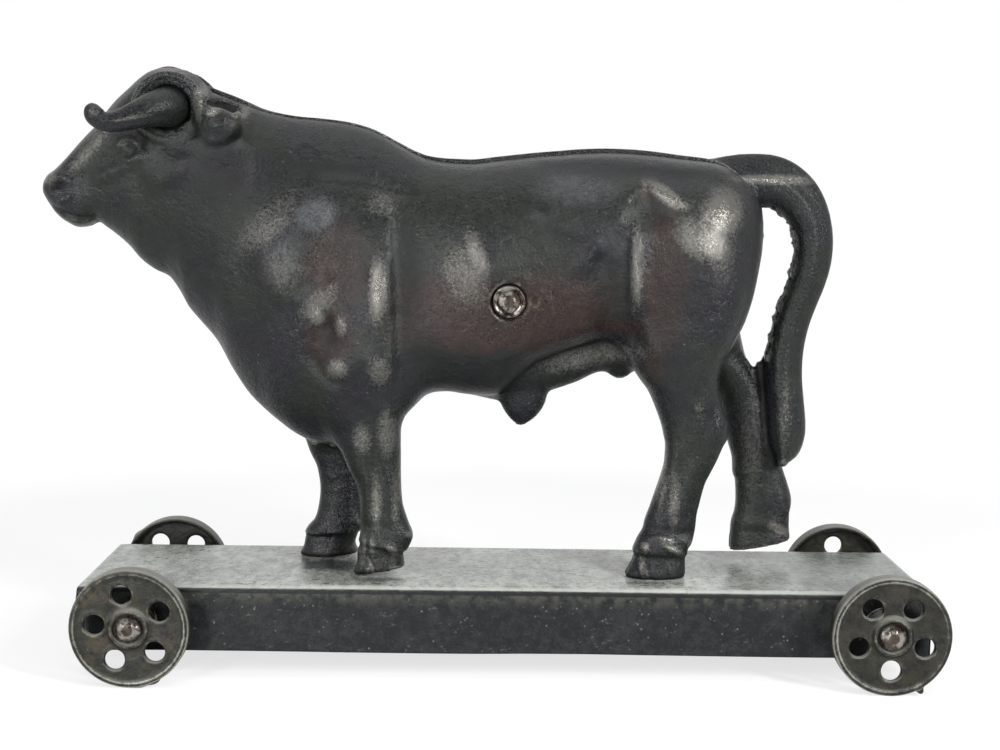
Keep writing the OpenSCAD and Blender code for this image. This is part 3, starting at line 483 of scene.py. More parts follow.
# crisp folds, not softened
foldRelief = {
    "tricepsRear": ("shelf", -2.6, 1.7, 17, [(-41.0, 152.0), (-39.6, 144.2), (-38.6, 132.5), (-38.0, 116.8),
        (-37.6, 101.1), (-37.2, 88.4), (-36.7, 76.5)]),
    "stifleFold": ("shelf", 2.0, 2.0, 17, [(53.1, 151.4), (54.2, 139.7), (54.8, 128.0), (55.4, 118.1),
        (57.2, 108.3), (60.6, 99.2), (65.2, 91.3), (69.3, 82.6)]),
}
pitRelief = {
    "castingPit": ("dome", -2.4, 2.0, 2.2, 17.4, 113.4),
    "pitLip": ("dome", 1.1, 3.4, 3.4, 17.8, 113.2),
}
legRelief = {
    "foreKneeFront": ("dome", 1.1, 3.0, 6.5, -52.6, 55.5),
    "foreKneeBack": ("dome", 1.2, 3.2, 8.5, -42.3, 59.6),
    "foreCannonGroove": ("line", -1.0, 2.0, [(-46.4, 52), (-45.8, 42), (-45.6, 32), (-45.2, 22)]),
    "foreCannon": ("line", 0.7, 1.9, [(-48.6, 46), (-48.2, 36), (-48.0, 25)]),
    "foreTendon": ("line", 0.8, 2.2, [(-40.6, 46), (-39.6, 36), (-38.0, 26)]),
    "foreFetlockDip": ("line", -1.0, 1.9, [(-53, 19.6), (-45, 20.0), (-36, 18.4)]),
    "forePastern": ("line", 0.7, 1.1, [(-49.5, 18.5), (-49.5, 13.1), (-49.9, 10.0)]),
    "forePastern2": ("line", 0.7, 1.1, [(-46.7, 18.5), (-46.3, 13.2), (-46.2, 10.0)]),
    "foreHeelBulge": ("line", 1.0, 1.7, [(-41.4, 14.4), (-39.4, 12.4), (-37.4, 10.4), (-36.0, 8.6)]),
    "foreToe": ("line", 0.4, 1.2, [(-45.2, 8.0), (-46.0, 5.6), (-47.6, 1.0)]),
    "hindHockPoint": ("dome", 1.0, 2.6, 5.0, 85.0, 62.6), "hindHock": ("dome", 0.9, 3.0, 5.0, 92.2, 62.0),
    "hindHockGroove": ("line", -0.9, 1.9, [(88.6, 72), (88.4, 64), (87, 56)]),
    "hindCannon": ("line", 0.9, 1.8, [(76.0, 57), (73.6, 46), (70.6, 36), (68.2, 26)]),
    "hindCannonGroove": ("line", -0.9, 1.7, [(80.6, 55), (78.2, 44), (74.8, 34), (72.0, 25)]),
    "hindTendon": ("line", 0.8, 1.9, [(85.4, 52), (82.4, 42), (79.6, 32), (77.6, 24)]),
    "hindFetlockDip": ("line", -1.0, 1.8, [(61, 18.6), (69, 20.0), (80, 18.8), (86, 20.4)]),
    "hindPastern": ("line", 0.9, 1.1, [(68.6, 17.4), (70.6, 17.0), (72.7, 16.6), (76.6, 15.0)]),
    "hindPastern2": ("line", 1.0, 1.2, [(69.8, 15.6), (71.9, 14.6), (75.2, 13.0), (79.3, 10.5), (81.2, 9.4)]),
    "hindToe": ("line", 0.6, 1.2, [(64.0, 8.6), (63.2, 5.6), (62.0, 2.0)]),
    "hindFetlockKnob": ("dome", 0.9, 1.8, 1.7, 64.5, 13.6),
}
headRelief = {
    "jaw": ("shelf", 2.3, 2.4, 12, [(-141, 151.6), (-136, 153.0), (-131.2, 155.0), (-126.4, 157.4),
        (-121.7, 160.6), (-118.3, 166.4), (-117, 172)]),
    "cheek": ("dome", 0.7, 10, 9, -129.1, 166.4),
    "bridge": ("line", 1.1, 3.4, [(-175, 160), (-171.4, 163.5), (-164.2, 170), (-156.1, 178.6),
        (-148.9, 187), (-142.1, 195.1)]),
    "faceHollow": ("line", -0.9, 4.4, [(-170, 159), (-166, 162), (-158, 167), (-152, 174), (-148, 181)]),
    "eyeSocket": ("dome", -1.9, 6.2, 5.0, -145.0, 170.7),
    "eyeBall": ("dome", 3.0, 3.2, 2.7, -145.1, 170.6),
    "upperLid": ("line", 2.0, 1.2, [(-151.6, 168.0), (-150.2, 170.2), (-148.6, 172.6), (-145.8, 174.2),
        (-142.7, 173.9), (-139.9, 171.3), (-138.4, 168.6)]),
    "lowerLid": ("line", 1.3, 1.3, [(-151.6, 168.4), (-149.6, 167.8), (-145.8, 166.5), (-142.3, 166.8),
        (-139.6, 169.6), (-138.4, 171)]),
    "tearFold": ("line", 1.4, 2.5, [(-134.4, 171.5), (-139.4, 167.4), (-144.1, 164.6), (-149.3, 162.6),
        (-154.4, 160.4), (-162, 157.6)]),
    "browPit": ("dome", -0.9, 1.7, 1.5, -138.0, 173.0),
    "brow": ("line", 0.9, 2.6, [(-155, 172), (-152, 174.5), (-147.5, 177.6), (-141.5, 178.0), (-136, 175.5)]),
    "nostrilWing": ("line", 1.6, 2.1, [(-181.6, 154.2), (-179.6, 157.0), (-176.6, 159.2), (-173.2, 159.6),
        (-169.8, 157.4), (-169.3, 153)]),
    "nostrilBulge": ("dome", 1.7, 2.4, 1.8, -178.0, 159.2),
    "nostril": ("line", -1.3, 1.2, [(-179.4, 153.6), (-177.4, 154.8), (-174.9, 155.9), (-172.6, 155.7),
        (-171.6, 153.6)]),
    "muzzlePad": ("line", 1.0, 2.0, [(-168.8, 155.4), (-169.4, 152.6), (-171.2, 150.6), (-174.2, 149.5),
        (-178.4, 149.8)]),
    "mouth": ("line", -0.9, 1.1, [(-180.4, 149.2), (-177, 147.8), (-174.4, 146.6), (-170.2, 144.6),
        (-165.5, 143.4), (-160.6, 144.4), (-157.6, 146.8)]),
    "lowerLip": ("line", 0.5, 1.8, [(-176, 144.6), (-173, 143.2), (-168.9, 141.6), (-164.4, 141.0),
        (-158, 142.8)]),
    "earRim": ("line", 1.2, 2.2, [(-117.5, 187.4), (-114.4, 190.2), (-109.6, 191.2), (-104.6, 190.6),
        (-99.8, 188.2), (-95.4, 184.6)]),
    "earHollow": ("line", -1.9, 1.9, [(-114.0, 187.2), (-110.4, 188.4), (-106.2, 187.8), (-102.4, 186.0),
        (-99.6, 183.4)]),
    "earGlint": ("line", 1.4, 0.9, [(-113.4, 185.0), (-111.4, 185.9), (-109.0, 185.7), (-107.4, 184.6)]),
    "earGlint2": ("dome", 1.0, 1.1, 1.1, -100.4, 184.8),
    "earLump": ("dome", 1.6, 4.8, 4.0, -107.4, 180.0),
    "earMoat": ("dome", -0.9, 8.0, 7.0, -107.4, 179.4),
    "earLow": ("line", 0.8, 1.8, [(-100.0, 184.4), (-101.4, 179.2), (-105.6, 174.8), (-110.8, 174.2),
        (-115.4, 177.2)]),
    "earRoot": ("line", -0.9, 2.2, [(-116.8, 186.0), (-118.2, 182), (-117.8, 178), (-115.8, 174)]),
}
# horn socket: its middle, outer face, radius, recess, the boss's taper, how far its face lies back and
# where it begins, and rings as radius, depth below the face, thickness, fillet
socket = {
    "x": -128.2, "z": 187, "face": 23.5, "r": 12.0, "recessR": 8.9, "depth": 3.0, "taper": 0.3, "back": 0.9,
    "root": 8.5, "rings": [(12.6, 1.7, 1.9, 1.4), (9.8, 1.2, 0.8, 0.8)],
}
collarSeat = {"x": 7.4, "z": 113, "off": 36, "r": 7.1, "lip": 0.8, "room": 14}
ear = {"at": (-108.0, 23.6, 181.0), "size": (9.4, 5.6, 8.4)}
archLump = {"at": (54.4, 0, 84), "size": (5.2, 5, 4.6)}
# the far elbow's forms lie further forward, where the far leg stands
elbowForms = ("elbowHollow", "hollowTail", "hollowRimLeft", "hollowRimRight", "forearmKnob", "knobFold",
              "elbow")
farElbowShift = -18.0
# the even grid on which the body's relief is drawn and softened, and the distances from the joint over
# which relief comes in
relief = {"x": (-124, 118), "z": (70, 176), "step": 0.8, "soften": 1.4, "bodyFade": (6, 18),
          "headFade": (3, 9)}
# grid of a casting: ends and steps of its runs, and factors that keep each half under 200,000 triangles
castGrid = {
    "x": (-185.2, -92), "rumpEnd": 114.5, "tailEnd": 146, "xSteps": (0.72, 1.08),
    "joint": [-0.7, -0.12, 0.12], "off": (0.7, 4.3, 41.5), "offSteps": (0.6, 1.06),
    "z": (-1.1, 18, 138, 207.5), "zSteps": (0.82, 1.1, 0.74), "near": 1.06, "far": 1.12,
}
fillet = {"keel": 2.4, "sheath": 2.0, "arch": 2.0, "leg": 9.0, "boss": 3.0, "ear": 5.0, "recess": 0.7,
          "seat": 1.5, "seatEdge": 0.8, "flash": 0.9, "claw": 2.6, "sole": 0.25}
# distance of the flat inner face from the joint plane, and how round its edge is
jointFace = {"near": (0.3, 1.0), "far": (0.0, 0.5)}


# a curve through given points: a cubic between each two, its slopes half the step between their
# neighbours
def throughPoints(pts, parts=6):
    p = np.asarray(pts, float)
    p = np.vstack([2 * p[0] - p[1], p, 2 * p[-1] - p[-2]])
    u = (np.arange(parts) / parts)[None, :, None]
    a, b, c, d = p[:-3, None], p[1:-2, None], p[2:-1, None], p[3:, None]
    q = 0.5 * (2 * b + (c - a) * u + (2 * a - 5 * b + 4 * c - d) * u ** 2 + (3 * b - a - 3 * c + d) * u ** 3)
    return np.vstack([q.reshape(-1, p.shape[1]), p[-2:-1]])


# distance from every point of a flat grid to a polyline, with the side it lies on and the way along it
def nearLine(px, pz, pts):
    best = np.full(px.shape, 1e9)
    side = np.zeros(px.shape)
    run = np.zeros(px.shape)
    done = 0.0
    for a, b in zip(pts[:-1], pts[1:]):
        d = b - a
        length = math.hypot(*d)
        t = np.clip(((px - a[0]) * d[0] + (pz - a[1]) * d[1]) / length ** 2, 0, 1)
        ex, ez = px - a[0] - t * d[0], pz - a[1] - t * d[1]
        dist = np.hypot(ex, ez)
        closer = dist < best
        best = np.where(closer, dist, best)
        side = np.where(closer, np.sign(d[0] * ez - d[1] * ex), side)
        run = np.where(closer, done + t * length, run)
        done += length
    return best, side, run, done


# the part of a grid's places that lies between two of them, or round one
def window(axis, lo, hi):
    return slice(max(int(np.searchsorted(axis, lo)), 0), min(int(np.searchsorted(axis, hi)) + 1, len(axis)))


def windowAt(axis, middle, room):
    return window(axis, middle - room, middle + room)


# height map of the relief: a line is h*exp(-(d/w)^2), a dome h*exp(-q^2), a shelf a step that fades off
# behind its edge; lines and shelves also fade towards both ends
def reliefMap(parts, xs, zs, shift=None):
    total = np.zeros((len(xs), len(zs)))
    for name, p in parts.items():
        dx = (shift or {}).get(name, 0.0)
        if p[0] == "dome":
            wx, wz = windowAt(xs, p[4] + dx, 2.6 * p[2]), windowAt(zs, p[5], 2.6 * p[3])
            px, pz = np.meshgrid(xs[wx] - dx, zs[wz], indexing="ij")
            total[wx, wz] += p[1] * np.exp(-((px - p[4]) / p[2]) ** 2 - ((pz - p[5]) / p[3]) ** 2)
            continue
        pts = throughPoints(p[-1])
        room = 2.6 * (p[2] if p[0] == "line" else p[3])
        wx = window(xs, pts[:, 0].min() + dx - room, pts[:, 0].max() + dx + room)
        wz = window(zs, pts[:, 1].min() - room, pts[:, 1].max() + room)
        px, pz = np.meshgrid(xs[wx] - dx, zs[wz], indexing="ij")
        d, side, run, length = nearLine(px, pz, pts)
        fade = min(0.34 * length, 14 if p[0] == "shelf" else 7)
        ends = smooth(0, fade, run) * smooth(0, fade, length - run)
        if p[0] == "line":
            total[wx, wz] += p[1] * np.exp(-(d / p[2]) ** 2) * ends
        else:
            s = d * side * (1 if p[1] > 0 else -1)
            step = abs(p[1]) * 0.5 * (1 + np.tanh(s / p[2]))
            total[wx, wz] += step * np.exp(-(np.maximum(s, 0) / p[3]) ** 2) * ends
    return total


# a map softened along both ways of an even grid with the weight exp(-(d/width)^2)
def soften(field, step, width):
    reach = int(math.ceil(2.6 * width / step))
    w = np.exp(-((np.arange(-reach, reach + 1) * step / width) ** 2))
    w /= w.sum()
    for axis in (0, 1):
        pad = [(0, 0), (0, 0)]
        pad[axis] = (reach, reach)
        wide = np.pad(field, pad, mode="edge")
        count = field.shape[axis]
        field = sum(k * np.take(wide, np.arange(i, i + count), axis=axis) for i, k in enumerate(w))
    return field


# an even map read at the crossings of an uneven grid
def readMap(field, ux, uz, xs, zs):
    i = np.clip(np.searchsorted(ux, xs) - 1, 0, len(ux) - 2)
    k = np.clip(np.searchsorted(uz, zs) - 1, 0, len(uz) - 2)
    a = ((xs - ux[i]) / (ux[i + 1] - ux[i]))[:, None]
    b = ((zs - uz[k]) / (uz[k + 1] - uz[k]))[None, :]
    part = field[i] * (1 - a) + field[i + 1] * a
    return part[:, k] * (1 - b) + part[:, k + 1] * b


# loft along x: at each x a superellipse in (off, z); its field is the radial distance rho*(1-1/q)
def loftField(table, xs, off, zs, rise=None):
    s = alongStations(table, xs)
    top, bottom, wide, half, above, below = (s[:, k].astype(np.float32)[:, None, None] for k in range(6))
    if rise is not None:
        top = top + np.interp(xs, rise[0], rise[1]).astype(np.float32)[:, None, None]
    z = zs[None, None, :] - wide
    up = z > 0
    reach = np.where(up, top - wide, wide - bottom)
    power = np.where(up, above, below)
    u = np.abs(off)[None, :, None] / half
    q = (u ** power + (np.abs(z) / reach) ** power) ** (1 / power)
    rho = np.sqrt(off[None, :, None] ** 2 + z * z)
    d = rho * (1 - 1 / np.maximum(q, 0.08))
    x = xs[:, None, None]
    return np.maximum(d, np.maximum(table[0][0] - x, x - table[-1][0]))


# upright column: at each height a superellipse in (x, off), with the same radial field
def columnField(table, xs, off, zs, power):
    s = alongStations(table, zs)
    front, back, thick, mid = (s[:, k].astype(np.float32)[None, None, :] for k in range(4))
    ax = (back - front) / 2
    dx, dy = xs[:, None, None] - (back + front) / 2, off[None, :, None] - mid
    q = ((np.abs(dx) / ax) ** power + (np.abs(dy) / thick) ** power) ** (1 / power)
    return np.hypot(dx, dy) * (1 - 1 / np.maximum(q, 0.08)), q, dx, dy, ax, thick


# each hoof's own: the sole's rise, the coronet groove's depth and slope, the cleft's depth, how far the
# sole flares and the hoof's top is drawn in, and the dewclaws' size
hooves = {
    "nearFront": {"lift": 0.165, "groove": 0.75, "slope": 0.34, "cleft": 0.9, "flare": 0.55, "tuck": 0.8,
                  "claw": 0.55},
    "nearHind": {"lift": 0.0, "groove": 0.55, "slope": 0.05, "cleft": 0.9, "flare": 0.5, "tuck": 0.8,
                 "claw": 0.55},
    "farFront": {"lift": 0.05, "groove": 0.7, "slope": 0.0, "cleft": 0.3, "flare": 0.7, "tuck": 0.8,
                 "claw": 0.55},
    "farHind": {"lift": 0.19, "groove": 0.0, "slope": 0.1, "cleft": 0.0, "flare": 0.35, "tuck": 0.35,
                "claw": 0.5},
}
# the same for all: squareness, heights and widths of the groove and the swelling above it, heights
# between which the hoof begins, height of the flare, clefts as place along the half length, width and
# reach across, their lean, the split's depth and width, and the dewclaws' size, height, way back, way
# across and fullness
hoofForm = {
    "power": 2.35, "skin": 0.5, "groove": (8.6, 0.7), "swelling": (10.4, 1.0), "begins": (8.6, 7.4),
    "flareHeight": 7.5, "cleft": (0.16, 0.7, 0.2, 0.9), "bulge": (0.42, 1.2, 0.4, 0.9), "lean": 0.5,
    "split": (1.2, 0.9),
    "claw": (3.9, 3.0, 3.2), "clawHeight": 14.2, "clawBack": 3.2, "clawAcross": 0.55, "clawFull": 3.0,
}


# leg: a column with a shallow coronet groove, a hoof that flares to a sharp sole, a cleft, and two
# dewclaws; each groove is depth*exp(-(d/width)^2)
def legField(table, xs, off, zs, v):
    w = hoofForm
    d, q, dx, dy, ax, thick = columnField(table, xs, off, zs, w["power"])
    s = alongStations(table, zs)
    front, back = (s[:, k].astype(np.float32)[None, None, :] for k in (0, 1))
    x, z = xs[:, None, None], zs[None, None, :]
    sole = table[0][0] + v["lift"] * (x - front)
    h = z - sole
    slope = h + v["slope"] * dx
    across = np.abs(dy) / thick
    skin = q > w["skin"]
    for share, (height, width) in ((1, w["groove"]), (-0.5, w["swelling"])):
        d = d + share * v["groove"] * np.exp(-((slope - height) / width) ** 2) * skin
    low = smooth(*w["begins"], slope)
    d = d + low * (v["tuck"] * smooth(0, w["flareHeight"], h) - v["flare"])
    for share, (place, width, begins, full) in ((1, w["cleft"]), (-0.6, w["bulge"])):
        notch = low * share * v["cleft"] * np.exp(-((dx + place * ax + w["lean"] * h) / width) ** 2)
        d = d + notch * smooth(begins, full, across)
    d = d + low * w["split"][0] * np.exp(-(dy / w["split"][1]) ** 2) * (dx < 0)
    for side in (-1, 1):
        claw = np.sqrt(((x - back + w["clawBack"]) / w["claw"][0]) ** 2
                       + ((dy - side * thick * w["clawAcross"]) / w["claw"][1]) ** 2
                       + ((h - w["clawHeight"]) / w["claw"][2]) ** 2)
        d = weld(d, (claw - v["claw"]) * w["clawFull"], fillet["claw"])
    d = keepBoth(d, sole - z, fillet["sole"])
    return np.maximum(d, z - table[-1][0])


# ellipsoid: its field is (q-1) times its least half size, q being 1 on its skin
def ellipsoidField(xs, off, zs, centre, size):
    x, y, z = xs[:, None, None], off[None, :, None], zs[None, None, :]
    q = ((x - centre[0]) / size[0]) ** 2 + ((y - centre[1]) / size[1]) ** 2 + ((z - centre[2]) / size[2]) ** 2
    return (np.sqrt(q) - 1) * min(size)


# a grid's places along one way: runs of even steps, each given as its start, end and step
def gridAxis(*runs):
    parts = [np.arange(a, b - step * 0.5, step) for a, b, step in runs]
    return np.concatenate(parts + [[runs[-1][1]]]).astype(np.float32)


# how far each half's top edge stands above the trunk's outline, along x: the far one shows as a dark line
proudEdge = ([-183, -150, -136, -128, -104, -40, -15, 60, 92, 104, 112],
             [0.3, 0.8, 0.6, 0.6, 1.0, 1.0, 1.9, 2.0, 1.5, 0.6, 0.3])
lowEdge = ([-183, -142, -130, -104, -92, 112], [0, 0, -1.0, -0.8, 0, 0])
# casting flash along the joint, as x, z, reach; its distance from the joint, shape and the room round it
flashBits = [(110.4, 139.4, 1.7), (109.2, 127.2, 1.7), (104.6, 108.6, 1.7), (105.6, 113.0, 1.3),
             (101.4, 99.0, 1.6), (-72, 52.6, 1.6), (-64, 51.4, 1.4)]
flash = {"off": 0.4, "shape": (1.7, 1.1, 2.0), "room": 6}


# one casting, off the joint plane: lofts and legs welded with fillets, relief pressed in, then cut flat
# at the joint
def castHalf(legs, feet, far):
    g = castGrid
    grow = g["far"] if far else g["near"]
    nose, neck = g["x"]
    end = g["tailEnd"] if far else g["rumpEnd"]
    fine, coarse = g["xSteps"]
    xs = gridAxis((nose, neck, fine * grow), (neck, end, coarse * grow))
    thin, wall, widest = g["off"]
    across = gridAxis((thin, wall, g["offSteps"][0]), (wall, widest, g["offSteps"][1] * grow))
    off = np.concatenate([g["joint"], across]).astype(np.float32)
    zs = gridAxis(*((lo, hi, step * grow) for lo, hi, step in zip(g["z"][:-1], g["z"][1:], g["zSteps"])))
    body = loftField(trunk, xs, off, zs, proudEdge if far else lowEdge)
    wx = window(xs, -30, 84)
    body[wx] = weld(body[wx], loftField(keel, xs[wx], off, zs), fillet["keel"])
    wx, wz = window(xs, -12, 40), window(zs, 50, 80)
    part = np.maximum(columnField(sheath, xs[wx], off, zs[wz], 2.1)[0], sheath[0][0] - zs[wz])
    body[wx, :, wz] = weld(body[wx, :, wz], part, fillet["sheath"])
    wx = window(xs, 30, 78)
    part = ellipsoidField(xs[wx], off, zs, archLump["at"], archLump["size"])
    body[wx] = weld(body[wx], part, fillet["arch"])
    # relief of the body and legs
    shift = {k: farElbowShift for k in elbowForms} if far else None
    ux, uz = (np.arange(*relief[k], relief["step"]) for k in ("x", "z"))
    bump = soften(reliefMap(bodyRelief, ux, uz, shift), relief["step"], relief["soften"])
    bump = readMap(bump, ux, uz, xs, zs)
    bump *= ((xs > ux[0]) & (xs < ux[-1]))[:, None] * ((zs > uz[0]) & (zs < uz[-1]))[None, :]
    bump += reliefMap(foldRelief, xs, zs)
    if not far:
        bump += reliefMap(legRelief, xs, zs) + reliefMap(pitRelief, xs, zs)
    for leg, foot in zip(legs, feet):
        leg = np.array(leg)
        wx = window(xs, leg[:, 1].min() - 18, leg[:, 2].max() + 18)
        wz = window(zs, -5, leg[-1, 0] + 16)
        part = legField(leg, xs[wx], off, zs[wz], hooves[foot])
        body[wx, :, wz] = weld(body[wx, :, wz], part, fillet["leg"])
    body -= (bump[:, None, :] * smooth(*relief["bodyFade"], off)[None, :, None]).astype(np.float32)
    # head: socket boss, rings and recess, ear
    wx, wz = window(xs, -152, -80), window(zs, 156, 207)
    x, y, z = xs[wx][:, None, None], off[None, :, None], zs[wz][None, None, :]
    part = body[wx, :, wz]
    rr = np.hypot(x - socket["x"], z - socket["z"])
    boss = rr - socket["r"] - (socket["face"] - y) * socket["taper"]
    boss = np.maximum(boss, y - socket["face"] + socket["back"])
    part = weld(part, np.maximum(boss, socket["root"] - y), fillet["boss"])
    for radius, below, thick, joint in socket["rings"]:
        part = weld(part, np.hypot(rr - radius, y - socket["face"] + below) - thick, joint)
    part = weld(part, ellipsoidField(xs[wx], off, zs[wz], ear["at"], ear["size"]), fillet["ear"])
    pit = np.maximum(rr - socket["recessR"], socket["face"] - socket["depth"] - y)
    body[wx, :, wz] = cutOut(part, pit, fillet["recess"])
    wx = window(xs, -185, -90)
    face = reliefMap(headRelief, xs[wx], zs)
    body[wx] -= (face[:, None, :] * smooth(*relief["headFade"], off)[None, :, None]).astype(np.float32)
    # seat for the rivet's collar
    k = collarSeat
    wx, wz = windowAt(xs, k["x"], k["room"]), windowAt(zs, k["z"], k["room"])
    rr = np.hypot(xs[wx][:, None, None] - k["x"], zs[wz][None, None, :] - k["z"])
    seat = np.maximum(rr - k["r"] - k["lip"], y - k["off"])
    part = weld(body[wx, :, wz], seat, fillet["seat"])
    body[wx, :, wz] = cutOut(part, np.maximum(rr - k["r"], k["off"] - y), fillet["seatEdge"])
    if far:
        wx = window(xs, 74, 150)
        body[wx] = addTail(body[wx], xs[wx], off, zs)
        sx, sy, sz = flash["shape"]
        for fx, fz, reach in flashBits:
            wx, wz = windowAt(xs, fx, flash["room"]), windowAt(zs, fz, flash["room"])
            bit = ellipsoidField(xs[wx], off, zs[wz], (fx, flash["off"], fz), (reach * sx, sy, reach * sz))
            body[wx, :, wz] = weld(body[wx, :, wz], bit, fillet["flash"])
    face, edge = jointFace["far" if far else "near"]
    return netSurface(keepBoth(body, face - y, edge), xs, off, zs)


# the rod's middle and half depth off the joint, its lean and fillets; the crest's heights; the fin of
# flash on its inner side as middle, half thickness, reach and run; the web down to the hock as the same
# with its x, z and slope
tailForm = {
    "off": 7.8, "deep": 8.0, "lean": (0.62, 0.05, 0.7, 0.85), "leanFillet": 3.0, "fillet": 3.0,
    "crest": (0.75, 0.2), "crestAt": (0.02, 1.5), "crestOff": 6,
    "fin": (6.4, 2.6), "finReach": 3.2, "finRun": (24, 122), "finBegins": (22, 34), "finSlant": 0.35,
    "finFillet": 0.7,
    "web": (11.6, 1.5), "webTop": 83.2, "webPeak": 112.4, "webSlope": 1.2, "webX": (114.0, 6.5),
    "webFoot": 56, "webFillet": 0.8,
}


# tail: a rounded rod swept along a path, its outer part leaning back behind a soft ridge, with
# ragged casting flash on the inner side and a web down to the hock
def addTail(body, xs, off, zs):
    k = tailForm
    path = throughPoints(tail, 5)
    px, pz = np.meshgrid(xs, zs, indexing="ij")
    dist, side, run = nearLine(px, pz, path[:, :2])[:3]
    step = np.hypot(*np.diff(path[:, :2], axis=0).T)
    wide = np.interp(run, np.concatenate([[0], np.cumsum(step)]), path[:, 2])[:, None, :]
    out = (dist * side)[:, None, :]
    y = off[None, :, None]
    q = np.sqrt((out / wide) ** 2 + ((y - k["off"]) / k["deep"]) ** 2)
    rod = np.hypot(dist[:, None, :], y - k["off"]) * (1 - 1 / np.maximum(q, 0.08))
    tilt, start, level, share = k["lean"]
    rod = keepBoth(rod, (tilt * (out - start * wide) - (y - level)) * share, k["leanFillet"])
    crest = k["crest"][0] * smooth(6, 16, run) * smooth(64, 34, run) + k["crest"][1] * smooth(40, 60, run)
    start, width = k["crestAt"]
    rod = rod - crest[:, None, :] * np.exp(-((out - start * wide) / width) ** 2) * (y < k["crestOff"])
    body = weld(body, rod, k["fillet"])
    ragged = raggedEdge(run[:, None, :] + k["finSlant"] * y) * smooth(*k["finBegins"], run)[:, None, :]
    edge = -out - wide - ragged + 0.4
    fin = np.maximum(np.abs(y - k["fin"][0]) - k["fin"][1], edge)
    fin = np.maximum(fin, dist[:, None, :] - wide - k["finReach"])
    begins, ends = k["finRun"]
    fin = np.where(((run > begins) & (run < ends) & (side < 0))[:, None, :], fin, 9.0)
    body = weld(body, fin, k["finFillet"])
    web = pz[:, None, :] - k["webTop"] - raggedEdge(px * 2.2)[:, None, :] * 0.7
    web = web - k["webSlope"] * np.abs(px - k["webPeak"])[:, None, :]
    web = np.maximum(np.abs(y - k["web"][0]) - k["web"][1], web)
    middle, half = k["webX"]
    web = np.maximum(web, np.maximum(np.abs(px - middle) - half, k["webFoot"] - pz)[:, None, :])
    return weld(body, web, k["webFillet"])


# jagged casting flash: sum of sines of unrelated lengths, each height*sin(run*rate + start), pressed
# towards a high and a low level
flashWaves = [(0.6, 0.91, 0.4), (0.5, 1.63, 1.9), (0.4, 2.9, 0.7), (0.6, 0.37, 2.2)]


# the flash's height a distance along the edge: 0.75 + 1.05*tanh(1.3*wave)
def raggedEdge(run):
    wave = sum(height * np.sin(run * rate + start) for height, rate, start in flashWaves)
    return 0.75 + 1.05 * np.tanh(1.3 * wave)


# from millimetres beside the joint to metres in the frame; the near side's faces are turned over
def placeBull(spot, quads, far):
    across = spot[:, 1] if far else -spot[:, 1]
    out = np.stack([spot[:, 0] + place["x"], place["joint"] + across, spot[:, 2] + place["deckTop"]], 1)
    return out * 0.001, (quads if far else quads[:, ::-1])
